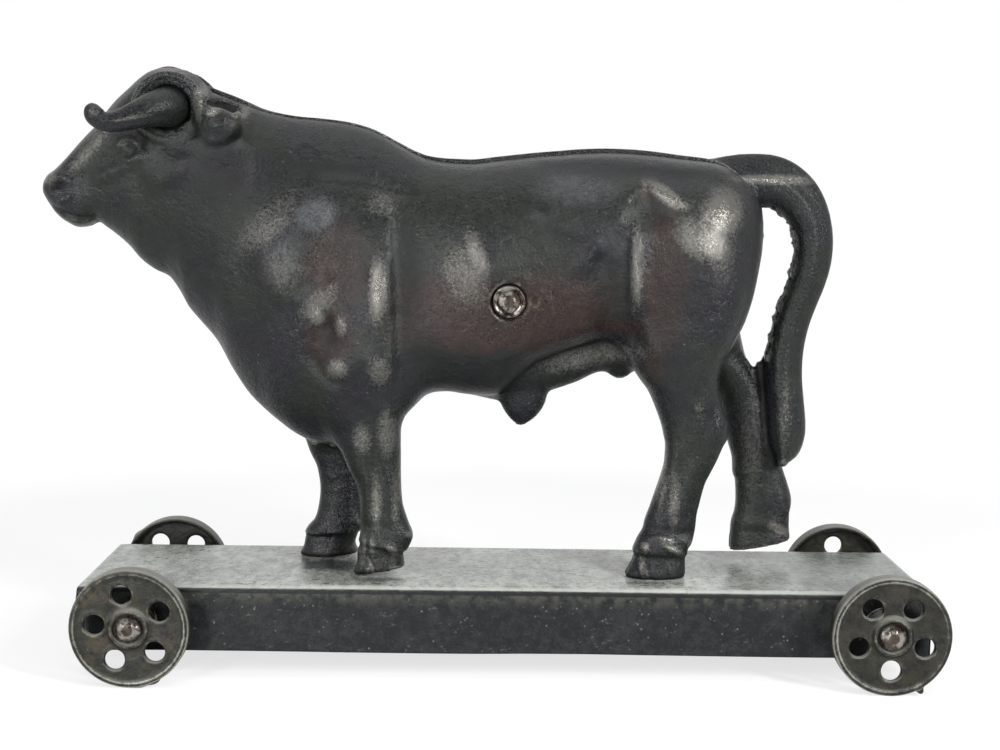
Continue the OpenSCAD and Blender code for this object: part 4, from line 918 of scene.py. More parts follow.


# where the metal is worn brown, keeps a green bloom or has a rusty spot; where a blue-grey sheen is painted,
# partly bloom; where it is rubbed bright on ridges and painted with highlights and reflections; and where
# shade is painted darker and duller, partly grime: x, z, half length, half height, amount, turn in degrees
patinaAndPaintedLightSpots = {
    "brown": [(-60, 126, 17, 20, 0.9, 0), (-64, 98, 13, 14, 0.9, 0), (-14, 110, 28, 18, 0.9, 0),
        (24, 110, 30, 18, 0.9, 0), (0, 100, 42, 9, 0.9, 0), (69, 122, 11, 32, 0.95, 0),
        (65, 90, 8, 12, 0.7, 0), (90, 128, 10, 18, 0.5, 0), (50, 103, 16, 5, 0.8, 0),
        (61, 157, 5, 4, 0.7, 0), (-67, 4.6, 13, 4.6, 0.45, 0)],
    "green": [(-20, 152, 46, 14, 0.8, 0), (34, 156, 40, 12, 0.7, 0), (-100, 180, 20, 12, 0.6, 0),
        (-110, 130, 16, 30, 0.4, 0), (-48, 50, 14, 40, 0.6, 0), (80, 50, 18, 30, 0.6, 0),
        (90, 155, 14, 9, 0.4, 0), (120, 70, 14, 34, 0.4, 0)],
    # blue: a pale blue-grey sheen painted on the shoulder and loin, partly bloom
    "blueBloomAndSheen": [(-69, 146, 9, 8, 1.0, 20), (-84, 124, 8, 10, 0.5, 0), (48, 137, 8, 8, 0.7, 0),
        (34, 157, 20, 8, 0.8, 0), (-80, 130, 8, 12, 0.6, 0)],
    "rust": [(18, 113.4, 3.6, 3.6, 0.6, 0), (14, 124, 4, 3, 0.35, 0), (2, 136, 4, 4, 0.25, 0)],
    # rubbed: paler bare metal, partly wear and partly painted highlights and reflections where the lamps and
    # floor catch the forms
    "rubbedAndHighlight": [(-88, 141.5, 19, 7, 0.45, 45), (-83, 124.1, 10, 13, 0.3, 20), (-67, 112, 10, 4, 0.65, 38),
        (-44.1, 117.1, 3.4, 13, 1, 0), (-43.2, 150.4, 7, 6, 0.4, 0), (-5.4, 131, 4, 11, 0.7, 20),
        (-10, 123, 9, 14, 0.5, 20), (-60, 85.2, 4.4, 4, 0.8, 0), (-43.2, 85.0, 5, 7, 0.55, 0),
        (69, 155.5, 9, 3, 1, -36), (61, 159.5, 2.4, 3, 0.5, 0), (91, 148, 11, 8, 1, 62),
        (84, 138, 8, 12, 0.9, 65), (57.4, 126.8, 2.5, 17, 0.8, 0), (84.2, 70, 2.6, 6, 0.25, 20),
        (92.8, 67.8, 2, 5, 0.2, 0), (42, 89, 24, 5, 0.5, 12), (-60, 128, 16, 18, 0.2, 0),
        (-40.5, 59.2, 4, 10, 0.6, 0), (-50.4, 56.3, 4, 7, 0.6, 0), (-44.7, 31, 2.4, 14, 0.6, 0),
        (-37, 33.2, 2, 14, 0.5, 0), (70.2, 46.6, 2.6, 18, 0.6, 0), (75.8, 32.5, 2.4, 14, 0.55, 0),
        (64.5, 13.6, 1.8, 1.8, 0.9, 0), (73, 16.6, 4, 1.2, 0.8, -14), (75.2, 13.0, 5.5, 1.2, 0.9, -28),
        (63, 6, 1.0, 4, 0.7, 0), (-49.6, 13, 0.9, 3.6, 0.8, 0), (-46.4, 13, 0.9, 3.6, 0.8, 0),
        (-38, 10.8, 1.4, 3, 0.9, 40), (-50.8, 5.2, 0.9, 3, 0.6, 0), (-46.6, 4.4, 0.8, 3.4, 0.8, 20),
        (-67.6, 106.2, 3, 4, 0.8, 0), (-58.6, 102.4, 2.4, 4, 0.8, 0), (-160, 172, 18, 3.6, 0.5, 48),
        (-147, 172.4, 3.4, 1.4, 0.4, 10), (-178, 158.6, 3.4, 3, 0.7, 0), (-115.6, 190, 2, 8, 0.9, 0),
        (-128, 203, 12, 2.4, 0.5, 0), (-110.4, 185.8, 3.4, 2, 1, 0), (-100.4, 186, 3, 3, 0.8, 0),
        (116, 162.4, 18, 2.2, 0.9, 0), (124, 66, 2.4, 16, 0.4, 0), (112, 56, 6, 30, 0.3, 0),
        (125.0, 14.6, 5.5, 2.0, 1, -28)],
    # dull: painted shade, darker and rougher, in hollows and grooves and over the neck, chest, belly, thigh
    # and tail, partly grime
    "dullAndShade": [(-107, 158, 17, 20, 1, 0), (-112, 132, 20, 22, 0.7, 0), (-63.7, 98, 5, 8, 1, 0),
        (-32, 122, 6, 26, 0.8, 0), (-29, 96, 12, 9, 0.8, 0), (0, 84, 46, 7, 0.9, 0),
        (47.5, 119.6, 7, 16, 0.8, 0), (63.8, 149, 6, 8, 0.7, 0), (60, 164.5, 30, 2.6, 0.5, 0),
        (74, 120, 9, 28, 0.7, 0), (-56, 128, 9, 13, 0.6, 0), (-62, 163, 18, 4, 0.8, -8),
        (-90, 112, 10, 18, 0.6, 0), (-60, 66, 16, 14, 0.6, 0), (105, 128, 6, 22, 0.6, 0),
        (28, 140, 14, 14, 0.5, 0), (130, 118, 10, 42, 0.6, 0)],
}


# how sharply the surface bends at each point, one over the radius in mm, above nought on a ridge: the
# points' height over the mean of their neighbours, along the normal, over half the mean square of the
# edges, then evened out
def bendOf(piece, rounds):
    data = piece.data
    co, normal = (np.empty(len(data.vertices) * 3, np.float32) for _ in range(2))
    data.vertices.foreach_get("co", co)
    data.vertices.foreach_get("normal", normal)
    ends = np.empty(len(data.edges) * 2, np.int32)
    data.edges.foreach_get("vertices", ends)
    co, normal, ends = co.reshape(-1, 3) * 1000, normal.reshape(-1, 3), ends.reshape(-1, 2)
    a, b = np.concatenate([ends[:, 0], ends[:, 1]]), np.concatenate([ends[:, 1], ends[:, 0]])
    count = np.maximum(np.bincount(a, minlength=len(co)), 1)
    gap = co[b] - co[a]
    drop = np.bincount(a, weights=(gap * normal[a]).sum(1), minlength=len(co)) / count
    square = np.bincount(a, weights=(gap ** 2).sum(1), minlength=len(co)) / count
    bend = -4 * drop / square
    for _ in range(rounds):
        bend = 0.5 * bend + 0.5 * np.bincount(a, weights=bend[b], minlength=len(co)) / count
    return bend


# bend at which the ridges' wear and painted highlight begin and are full, and its share; creases get painted
# shade from the same bends
castBendWearAndShade = (0.22, 0.6, 0.7)


# paints soft spots into a point attribute: the largest of amount*exp(-q^2.6); ridges are rubbed pale, partly
# as painted highlight, and creases and soles get painted shade, darker and duller
def paintSpots(piece, spots, bendWearAndShade):
    co = np.empty(len(piece.data.vertices) * 3, np.float32)
    piece.data.vertices.foreach_get("co", co)
    co = co.reshape(-1, 3) * 1000
    bend = bendOf(piece, 3)
    x, z = co[:, 0] - place["x"], co[:, 2] - place["deckTop"]
    begins, full, share = bendWearAndShade
    rubbedAndHighlight = share * smooth(begins, full, bend) * smooth(1.5, 4.0, z) * (0.4 + 0.6 * smooth(-104, -90, x))
    dullAndShade = 1.5 * np.maximum(smooth(begins * 0.5, full * 0.8, -bend), 0.9 * smooth(2.4, 0.8, z))
    edges = {"rubbedAndHighlight": rubbedAndHighlight, "dullAndShade": dullAndShade}
    for name, rows in spots.items():
        value = np.zeros(len(co))
        for cx, cz, rx, rz, amount, turn in rows:
            ca, sa = math.cos(math.radians(turn)), math.sin(math.radians(turn))
            u, v = ca * (x - cx) + sa * (z - cz), ca * (z - cz) - sa * (x - cx)
            value = np.maximum(value, amount * np.exp(-((u / rx) ** 2 + (v / rz) ** 2) ** 1.3))
        value = np.maximum(value, edges.get(name, 0))
        paintLayer(piece, name, value)


nearBull = castHalf([nearFrontLeg, nearHindLeg], ["nearFront", "nearHind"], False)
nearBull = meshPiece("nearCasting", *placeBull(*nearBull, False))
print("near casting", len(nearBull.data.polygons))
farBull = castHalf([farFrontLeg, farHindLeg], ["farFront", "farHind"], True)
farBull = meshPiece("farCasting", *placeBull(*farBull, True))
print("far casting", len(farBull.data.polygons))
for piece, node in ((nearBull, "bull_near_half"), (farBull, "bull_far_half")):
    paintSpots(piece, patinaAndPaintedLightSpots, castBendWearAndShade)
    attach(piece, "bull_and_deck")
    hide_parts(node)


# horns: rings of radius r along a rounded centre line; the radius swells into a lengthwise crease
hornLine = [
    (-128.2, 20.6, 187.0, 8.0), (-128.2, 23.8, 187.0, 7.9), (-129.5, 27.5, 186.7, 7.6),
    (-132.6, 31.5, 185.7, 6.7), (-136.8, 34.6, 184.0, 5.6), (-141.0, 36.6, 182.2, 4.8),
    (-145.0, 37.9, 180.8, 4.2), (-148.6, 38.6, 180.4, 3.8), (-151.4, 39.0, 181.2, 3.7),
    (-153.4, 39.1, 183.0, 3.9), (-154.2, 39.1, 184.9, 3.5), (-154.5, 39.1, 186.5, 2.4),
    (-154.6, 39.1, 187.3, 1.2),
]
# the crease and the groove beside it as height, turn and width, both a share of the radius and in radians
horn = {
    "rings": 110, "around": 56, "up": (0.25, 0.0, 1.0), "crease": (0.10, 0.15, 0.22),
    "groove": (0.06, -0.5, 0.3), "tipPits": 0.04, "blunt": 0.7, "tip": 0.35,
}
# painted highlight streaks on the horns, as x, z, half length, half height, amount, turn
hornSpots = {"rubbedAndHighlight": [(-138.6, 182.0, 8, 0.8, 0.6, 12), (-153.5, 184.5, 2.4, 2.4, 0.4, 0)], "dullAndShade": []}
hornBendWearAndShade = (0.6, 1.2, 0.5)


# each ring's radius times 1 + crease - groove, both a height*exp(-(turn/width)^2)
def hornSurface(line, h):
    path = throughPoints(line, 12)
    step = np.concatenate([[0], np.cumsum(np.linalg.norm(np.diff(path[:, :3], axis=0), axis=1))])
    t = np.linspace(0, step[-1], h["rings"])
    c = np.stack([np.interp(t, step, path[:, k]) for k in range(4)], 1)
    ahead = np.gradient(c[:, :3], axis=0)
    ahead /= np.linalg.norm(ahead, axis=1)[:, None]
    up = np.array(h["up"]) - ahead * (ahead @ np.array(h["up"]))[:, None]
    up /= np.linalg.norm(up, axis=1)[:, None]
    side = np.cross(ahead, up)
    a = np.linspace(0, 2 * math.pi, h["around"], endpoint=False)[None, :]
    s = (t / t[-1])[:, None]
    along = smooth(0.12, 0.4, s) * smooth(0.97, 0.8, s)
    # the crease faces away from the head, a little above the middle
    rise, turn, width = h["crease"]
    gap = np.angle(np.exp(1j * (a - turn)))
    crease = rise * along * np.exp(-(gap / width) ** 2)
    depth, turn, width = h["groove"]
    r = c[:, 3:4] * (1 + crease - depth * along * np.exp(-((gap - turn) / width) ** 2))
    tip = smooth(0.8, 0.95, s)
    r = r * (1 + h["tipPits"] * tip * np.sin(5 * a + 9 * s) * np.sin(3 * a - 31 * s))
    r[0] = c[0, 3] - h["blunt"]
    across = np.cos(a)[:, :, None] * side[:, None, :] + np.sin(a)[:, :, None] * up[:, None, :]
    return c, c[:, None, :3] + r[:, :, None] * across


# closed skin over a stack of rings, with a fan to the middle of each end
def skinRings(p, first, last):
    n, m = p.shape[:2]
    i = np.arange(n - 1)[:, None] * m
    j = np.arange(m)[None, :]
    k = (j + 1) % m
    quads = np.stack([i + j, i + k, i + m + k, i + m + j], -1).reshape(-1, 4)
    points = np.vstack([p.reshape(-1, 3), first, last])
    ring = np.arange(m)
    nxt = (ring + 1) % m
    fans = np.concatenate([np.stack([nxt, ring, np.full(m, n * m)], 1),
                           np.stack([(n - 1) * m + ring, (n - 1) * m + nxt, np.full(m, n * m + 1)], 1)])
    return points, quads, fans


# the horn's rings closed by a skin, and set on the near or the far side
def makeHorn(name, node, far):
    c, p = hornSurface(hornLine, horn)
    points, quads, fans = skinRings(p, c[:1, :3], c[-1:, :3] + (0, 0, horn["tip"]))
    points = placeBull(points, quads, far)[0]
    if far:
        quads, fans = quads[:, ::-1], fans[:, ::-1]
    piece = meshPiece(name, points, quads, fans)
    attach(piece, "bull_and_deck")
    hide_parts(node)
    return piece


nearHornPiece = makeHorn("nearHornCasting", "near_horn", False)
farHornPiece = makeHorn("farHornCasting", "far_horn", True)
for piece in (nearHornPiece, farHornPiece):
    paintSpots(piece, hornSpots, hornBendWearAndShade)
print("horns", len(nearHornPiece.data.polygons))


# turned parts: a profile of (way along, radius) pairs swung round an axis that lies along Y. wobble:
# share of the radius by which it is out of round, and where that starts
def turnedPoints(profile, centre, around, wobble):
    profile = np.asarray(profile, float)
    a = np.linspace(0, 2 * math.pi, around, endpoint=False)[None, :]
    t, r = profile[:, 0:1], profile[:, 1:2] * np.ones_like(a)
    share, start = wobble
    oval = share * np.sin(2 * a + start) * np.sin(t * 1.7 + start)
    r = r * (1 + oval + 0.6 * share * np.sin(5 * a + t * 2.3))
    return np.stack([centre[0] + r * np.cos(a), centre[1] + t + 0 * a, centre[2] + r * np.sin(a)], -1)


# hammer marks on both end faces, between low and high along the axis: points beyond a flat are brought
# back to it
def hammered(p, centre, marks, seed, depth, low, high):
    rng = np.random.default_rng(seed)
    for _ in range(marks):
        turn, lean = rng.uniform(0, 2 * math.pi), rng.uniform(0.2, 1.15)
        for end in (-1, 1):
            flat = math.sin(lean)
            n = np.array([flat * math.cos(turn + end), end * math.cos(lean), flat * math.sin(turn + end)])
            rel = (p - centre) @ n
            along = np.abs(p[..., 1] - centre[1])
            zone = (along > low) & (along < high)
            top = rel[zone].max()
            over = np.where(zone, np.maximum(rel - top + depth * rng.uniform(0.5, 1.2), 0), 0)
            p = p - over[..., None] * n
    return p


# solid turned part: the profile swung round, hammered at both ends and closed by a skin
def makeTurned(name, node, profile, centre, around, wobble, marks):
    p = hammered(turnedPoints(profile, centre, around, wobble), np.asarray(centre, float), *marks)
    # rings run along +Y, so the rounds are turned to face outwards
    points, quads, fans = skinRings(p, p[0].mean(0, keepdims=True), p[-1].mean(0, keepdims=True))
    piece = meshPiece(name, points * 0.001, quads[:, ::-1], fans[:, ::-1])
    out = np.hypot(points[:, 0] - centre[0], points[:, 2] - centre[2])
    paintLayer(piece, "crown", smooth(3.2, 1.2, out))
    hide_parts(node)
    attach(piece, "bull_and_deck")
    return piece


# ring with a hole: the closed profile is swung round and joined to itself
def makeRing(name, node, profile, centre, around, wobble):
    p = turnedPoints(profile, centre, around, wobble)
    n, m = p.shape[:2]
    i = np.arange(n)[:, None]
    j = np.arange(m)[None, :]
    i2, k = (i + 1) % n, (j + 1) % m
    quads = np.stack([i * m + j, i * m + k, i2 * m + k, i2 * m + j], -1).reshape(-1, 4)
    piece = meshPiece(name, p.reshape(-1, 3) * 0.001, quads[:, ::-1])
    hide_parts(node)
    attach(piece, "bull_and_deck")
    return piece


# half a profile and its mirror
def bothEnds(half):
    half = np.asarray(half, float)
    return np.vstack([half * (-1, 1), half[::-1]])


# the axles' places along x, their height, and the distance of the wheels' faces from the middle
track = {"front": -137.35, "rear": 158.65, "height": 23.5, "face": 57.0}
axleEnd = [(59.7, 0.6), (59.65, 2.1), (59.35, 2.9), (58.9, 3.7), (58.2, 4.4), (57.4, 4.9), (56.9, 5.2),
           (56.45, 5.2), (56.4, 4.6), (56.3, 4.02), (50, 4.0), (36, 4.0), (20, 4.0), (6, 4.0)]
rivetEnd = [(39.6, 0.5), (39.55, 1.9), (39.35, 2.5), (38.95, 3.1), (38.4, 3.8), (37.95, 4.3), (37.65, 4.55),
            (37.5, 4.3), (37.4, 3.2), (30, 3.2), (10, 3.2)]
# node, end of the track and seed
axles = {"frontAxle": ("front_axle", "front", 3), "rearAxle": ("rear_axle", "rear", 8)}
steelPieces = []
for name, (node, end, seed) in axles.items():
    at = (track[end], 0.0, track["height"])
    marks = (9, seed, 0.5, 56.5, 61)
    steelPieces.append(makeTurned(name, node, bothEnds(axleEnd), at, 72, (0.02, seed), marks))
rivetAt = (collarSeat["x"] + place["x"], place["joint"], collarSeat["z"] + place["deckTop"])
marks = (5, 5, 0.35, 37.5, 41)
steelPieces.append(makeTurned("tieRivet", "tie_rivet", bothEnds(rivetEnd), rivetAt, 64, (0.02, 1.0), marks))


# profile of a washer: a rectangle with its two outer corners cut over the width edge
def ringProfile(inner, outer, thick, start, edge=0.45):
    t0, t1 = start, start + thick
    return [(t0, inner), (t0, outer - edge), (t0 + 0.3 * edge, outer - 0.3 * edge), (t0 + edge, outer),
            (t1 - edge, outer), (t1 - 0.3 * edge, outer - 0.3 * edge), (t1, outer - edge), (t1, inner)]


# distance of the collars' seat from the joint, and their profile from there outwards
collar = {
    "seat": 36.2,
    "profile": [(0, 3.25), (0, 5.9), (0.2, 6.3), (0.6, 6.5), (1.0, 6.5), (1.35, 6.3), (1.55, 5.95),
        (1.5, 5.5), (1.15, 5.1), (1.0, 4.7), (1.0, 3.25)],
}
for name, node, side in (("nearCollar", "near_collar", -1), ("farCollar", "far_collar", 1)):
    profile = [(side * (collar["seat"] + t), r) for t, r in collar["profile"]]
    ring = makeRing(name, node, profile if side > 0 else profile[::-1], rivetAt, 80, (0.01, 2.0))
    steelPieces.append(ring)
# inner and outer radius, thickness, and where the near and far ones begin
washer = {"size": (4.06, 8.0, 1.2), "near": -41.2, "far": 40.0}
washerSet = {
    "washerFrontNear": ("washer_front_near", "front", "near"),
    "washerFrontFar": ("washer_front_far", "front", "far"),
    "washerRearNear": ("washer_rear_near", "rear", "near"),
    "washerRearFar": ("washer_rear_far", "rear", "far"),
}
for name, (node, end, side) in washerSet.items():
    x = track[end]
    profile = ringProfile(*washer["size"], washer[side])
    steelPieces.append(makeRing(name, node, profile, (x, 0.0, track["height"]), 64, (0.012, x)))
print("turned parts", len(steelPieces))


# wheels: a profile of the radius and the way along the axle, swung round and drilled, as one field
wheel = {
    "radius": 23.5, "tread": 8.5, "rim": 2.4, "web": 3.2, "hubR": 7.6, "hubLength": 15.4, "proud": 1.0,
    "boreR": 4.06, "cupR": 6.0, "cupDepth": 1.8, "holes": 5, "holeR": 3.9, "holeRing": 13.5,
    "step": 0.52, "deepSteps": (1.1, 0.46),
    "floorGap": 0.02, "treadEdge": 0.9, "hollowEdge": 2.2, "hubEdge": 1.4, "cupEdge": 0.7, "holeEdge": 1.0,
    "burrJoint": 0.9,
}
# turn of the first hole; how much smaller the wheel is; burrs as angle, rise, half width, place across
# the tread
wheelSet = {
    "wheelFrontNear": {"node": "wheel_front_near", "body": "front_near_wheel", "end": "front", "side": -1,
                       "turn": 102, "less": 0.25, "burrs": [(-67, 1.3, 2.6, -4.5), (-80, 0.7, 2.2, -3.0)],
                       "ridge": 0.45, "seed": 0.4},
    "wheelFrontFar": {"node": "wheel_front_far", "body": "front_far_wheel", "end": "front", "side": 1,
                      "turn": 20, "less": 0.3, "burrs": [(140, 0.8, 2.0, -4.0)], "ridge": 0.4, "seed": 1.7},
    "wheelRearNear": {"node": "wheel_rear_near", "body": "rear_near_wheel", "end": "rear", "side": -1,
                      "turn": 126, "less": 0.02, "burrs": [(-61, 2.3, 1.5, -1.6)], "ridge": 0.1, "seed": 2.9},
    "wheelRearFar": {"node": "wheel_rear_far", "body": "rear_far_wheel", "end": "rear", "side": 1,
                     "turn": 50, "less": 0.2, "burrs": [(200, 0.9, 2.0, -5.0)], "ridge": 0.3, "seed": 4.1},
}


# the holes' centres, a fifth of a turn apart on their ring
def holeCentres(w, s):
    turns = [math.radians(s["turn"] + 72 * i) * (1 if s["side"] < 0 else -1) for i in range(w["holes"])]
    return [(w["holeRing"] * math.cos(t), w["holeRing"] * math.sin(t)) for t in turns]


# the tread's rounded disc less the hollow behind it, joined to the hub and the burrs, less cup, holes
# and bore
def wheelField(w, s):
    reach = w["radius"] + 3.2
    flat = gridAxis((-reach, reach, w["step"]))
    coarse, small = w["deepSteps"]
    deep = gridAxis((-w["hubLength"] - 0.9, -10.0, coarse), (-10.0, 1.8, small))
    x, a, z = flat[:, None, None], deep[None, :, None], flat[None, None, :]
    r = np.hypot(x, z)
    turn = np.arctan2(z, x)
    radius = w["radius"] - s["less"] - 0.1 * (1 + np.sin(2 * turn + s["seed"])) * (1 + np.sin(turn)) * 0.5
    # tread a little crowned, the outer shoulder rounder than the inner one
    b = np.abs(a + w["tread"] / 2) - w["tread"] / 2
    tread = r - radius + 0.012 * (a + 3.6) ** 2 * 0.6
    d = keepBoth(tread, b, w["treadEdge"])
    # the outer face: a soft ridge inside the rim, dished towards the hub, and a lip round each hole
    dish = 0.55 * smooth(radius - 1.2, radius - 3.4, r) + 0.5 * smooth(13.5, 8.6, r) * smooth(5.6, 8.6, r)
    dish = dish - s["ridge"] * np.exp(-((r - radius + 1.8) / 0.5) ** 2)
    dish = dish + 0.12 * np.sin(3 * turn + 2 * s["seed"]) * smooth(4, 14, r)
    holes = [np.hypot(x - cx, z - cz) - w["holeR"] for cx, cz in holeCentres(w, s)]
    for hole in holes:
        dish = dish - 0.22 * np.exp(-((hole - 0.9) / 0.7) ** 2)
    d = np.maximum(d, a + dish)
    hollow = np.maximum(r - (radius - w["rim"]), a + w["web"] + 0.25)
    d = cutOut(d, hollow, w["hollowEdge"])
    hub = keepBoth(r - w["hubR"], np.maximum(a - w["proud"], -a - w["hubLength"]), w["hubEdge"])
    d = weld(d, hub, w["hollowEdge"])
    d = cutOut(d, np.maximum(r - w["cupR"], w["proud"] - w["cupDepth"] - a), w["cupEdge"])
    for i, hole in enumerate(holes):
        d = cutOut(d, hole - 0.05 * math.sin(i * 2 + s["seed"]), w["holeEdge"])
    for angle, rise, width, at in s["burrs"]:
        t = math.radians(angle)
        away, across = x * math.cos(t) + z * math.sin(t), -x * math.sin(t) + z * math.cos(t)
        q = np.sqrt((across / width) ** 2 + ((a - at) / 2.0) ** 2 + ((away - radius) / max(rise, 0.8)) ** 2)
        d = weld(d, (q - 1) * min(rise, width) * 0.8, w["burrJoint"])
    d = np.maximum(np.maximum(d, w["boreR"] - r), -z - w["radius"] + w["floorGap"])
    return netSurface(d.astype(np.float32), flat, deep, flat)


# paints where a wheel is pale, partly wear and partly painted highlight: its ridge, the rim's outer corner,
# the lips of the holes and the hub's edge, each share*exp(-(d/width)^2)
def paintWheel(piece, spot, w, s):
    x, a, z = spot.T
    r = np.hypot(x, z)
    inside = r - w["radius"] + s["less"]
    value = 0.8 * np.exp(-((inside + 1.8) / 0.45) ** 2) + np.exp(-((inside + 0.2) / 0.4) ** 2)
    value = value * (0.75 + 0.25 * np.sin(np.arctan2(z, x) - 2.2 * s["side"] + s["seed"]))
    value = value + 0.35 * np.exp(-((r - 7.0) / 0.5) ** 2)
    for cx, cz in holeCentres(w, s):
        lip = np.hypot(x - cx, z - cz) - w["holeR"] - 0.6
        value = np.maximum(value, 0.3 * np.exp(-(lip / 0.45) ** 2))
    paintLayer(piece, "wornAndHighlight", value * smooth(-2.6, -1.2, a))


wheelPieces = []
for name, s in wheelSet.items():
    spot, quads = wheelField(wheel, s)
    across = s["side"] * (track["face"] + spot[:, 1])
    out = np.stack([track[s["end"]] + spot[:, 0], across, track["height"] + spot[:, 2]], 1)
    piece = meshPiece(name, out * 0.001, quads if s["side"] > 0 else quads[:, ::-1])
    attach(piece, s["body"])
    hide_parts(s["node"])
    paintWheel(piece, spot, wheel, s)
    wheelPieces.append(piece)
print("wheels", len(wheelPieces[0].data.polygons))


# deck: a rounded block less its own offset by the sheet's thickness, open below, with the corners slit
deck = {
    "x": 8.65, "half": (170.0, 40.0), "top": 37.5, "foot": 10.5, "skirt": 27, "bend": 3.2, "sheet": 1.6,
    "corner": 1.4, "slit": 0.35,
}
# painted shade and reflection of the hooves: dark patches on the top by them, as x, y, half length, half
# width, amount
hoofShadeMarks = [(-64, -1, 18, 11, 1.3), (-42, -27, 16, 5, 0.9), (66, -28, 16, 5, 0.7), (101, 2, 13, 22, 0.75),
              (140, -26, 22, 9, 0.6)]


# a rounded corner between two faces: the distance outside both, or the nearer face's inside, less the
# radius
def roundCorner(a, b, radius):
    return np.minimum(np.maximum(a, b), 0) + np.hypot(np.maximum(a, 0), np.maximum(b, 0)) - radius


# the larger of the block's distance and the inner block's turned about, kept above the foot and off the
# corners' slits
def deckField(k):
    lx, ly = k["half"]
    xs = gridAxis((-lx - 2.2, -lx + 7, 0.5), (-lx + 7, lx - 7, 3.4), (lx - 7, lx + 2.2, 0.5))
    ys = gridAxis((-ly - 1.6, -ly + 6, 0.5), (-ly + 6, ly - 6, 2.8), (ly - 6, ly + 1.6, 0.5))
    foot, top = k["foot"], k["top"]
    zs = gridAxis((foot - 1.4, foot + 3, 0.5), (foot + 3, top - 7, 1.9), (top - 7, top + 1.0, 0.42))
    x, y, z = xs[:, None, None], ys[None, :, None], zs[None, None, :]
    low = (top - z) / k["skirt"]
    # slow waves in the skirts, a bulge at the near end of the left skirt, dents along the bends
    inX = 0.22 + 0.35 * np.sin(y / 17.0 + 1.0) * low * (x < 0)
    inX = inX - 1.3 * np.exp(-((y + 33) / 9.0) ** 2) * (x < 0) * smooth(0, 0.5, low)
    inY = 0.2 + 0.16 * np.sin(x / 31.0 + 0.8) * low + 0.12 * np.sin(x / 12.0) * low
    inY = inY + 0.25 * np.exp(-((x - 22) / 5.0) ** 2) * (1 - low)
    sag = 0.12 * (1 - np.cos(x / 44.0 + 0.5)) * 0.5
    sag = sag + 0.1 * np.exp(-((x - 54) / 11.0) ** 2 - ((y + 22) / 6.0) ** 2)
    ax, ay = np.abs(x) - lx + inX + k["corner"], np.abs(y) - ly + inY + k["corner"]
    wall = roundCorner(ax, ay, k["corner"])
    outer = roundCorner(wall + k["bend"], z - top + sag + k["bend"], k["bend"])
    shell = np.maximum(outer, -(outer + k["sheet"] - 0.1))
    edge = foot + 0.1 + 0.12 * np.sin(x / 23.0) - z
    shell = keepBoth(shell, edge, 0.5)
    # the slits begin a little over 4 mm below the deck's top
    seam = np.abs((np.abs(x) - lx) - (np.abs(y) - ly)) * 0.707 - k["slit"]
    seam = np.maximum(seam, 4.0 - low * k["skirt"] * 0.9)
    seam = np.maximum(seam, np.maximum(lx - 6 - np.abs(x), ly - 6 - np.abs(y)))
    shell = np.maximum(shell, -seam)
    return netSurface(shell.astype(np.float32), xs, ys, zs)


spot, quads = deckField(deck)
deckPiece = meshPiece("foldedDeck", (spot + (deck["x"], 0, 0)) * 0.001, quads)
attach(deckPiece, "bull_and_deck")
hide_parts("deck")
# painted shade below the hooves: the largest of amount*exp(-q^2)
hoofShaded = np.zeros(len(spot))
for cx, cy, rx, ry, amount in hoofShadeMarks:
    q = ((spot[:, 0] + deck["x"] - cx) / rx) ** 2 + ((spot[:, 1] - cy) / ry) ** 2
    hoofShaded = np.maximum(hoofShaded, amount * np.exp(-q))
paintLayer(deckPiece, "hoofShade", hoofShaded)
print("deck", len(deckPiece.data.polygons))


# finishes, all on object coordinates in metres
def noiseOf(t, where, scale, detail=2.0, rough=0.5, stretch=None):
    if stretch:
        where = nodeOf(t, "VectorMath", {0: where, 1: stretch}, operation="MULTIPLY").outputs[0]
    inputs = {"Vector": where, "Scale": scale, "Detail": detail, "Roughness": rough}
    return nodeOf(t, "TexNoise", inputs).outputs["Fac"]


def cellsOf(t, where, scale):
    return nodeOf(t, "TexVoronoi", {"Vector": where, "Scale": scale, "Randomness": 1.0}).outputs["Distance"]


def sumOf(t, *terms):
    total = None
    for value, weight in terms:
        part = mathOf(t, "MULTIPLY", value, weight)
        total = part if total is None else mathOf(t, "ADD", total, part)
    return total


def blendOf(t, share, a, b, mode="MIX"):
    n = t.nodes.new("ShaderNodeMix")
    n.data_type = "RGBA"
    n.blend_type = mode
    sockets = {s.identifier: s for s in n.inputs}
    for key, value in (("Factor_Float", share), ("A_Color", a), ("B_Color", b)):
        if isinstance(value, bpy.types.NodeSocket):
            t.links.new(value, sockets[key])
        else:
            sockets[key].default_value = value
    return next(s for s in n.outputs if s.identifier == "Result_Color")


def finishOf(t, colour, rough, normal, metal=0.0, specular=0.5):
    b = nodeOf(t, "BsdfPrincipled", {"Base Color": colour, "Roughness": rough, "Metallic": metal,
                                     "Specular IOR Level": specular, "Normal": normal})
    nodeOf(t, "OutputMaterial", {"Surface": b.outputs[0]})


def bumpOf(t, *layers):
    normal = None
    for value, distance in layers:
        inputs = {"Height": value, "Distance": distance, "Strength": 1.0}
        if normal is not None:
            inputs["Normal"] = normal
        normal = nodeOf(t, "Bump", inputs).outputs[0]
    return normal


# noise: scale, detail, roughness and stretch, each for one kind of mark. bumps: their heights in metres
def noisesOf(t, where, table):
    return {name: noiseOf(t, where, *row) for name, row in table.items()}


def bumpsOf(t, marks, heights):
    return bumpOf(t, *((marks[name], height) for name, height in heights.items()))


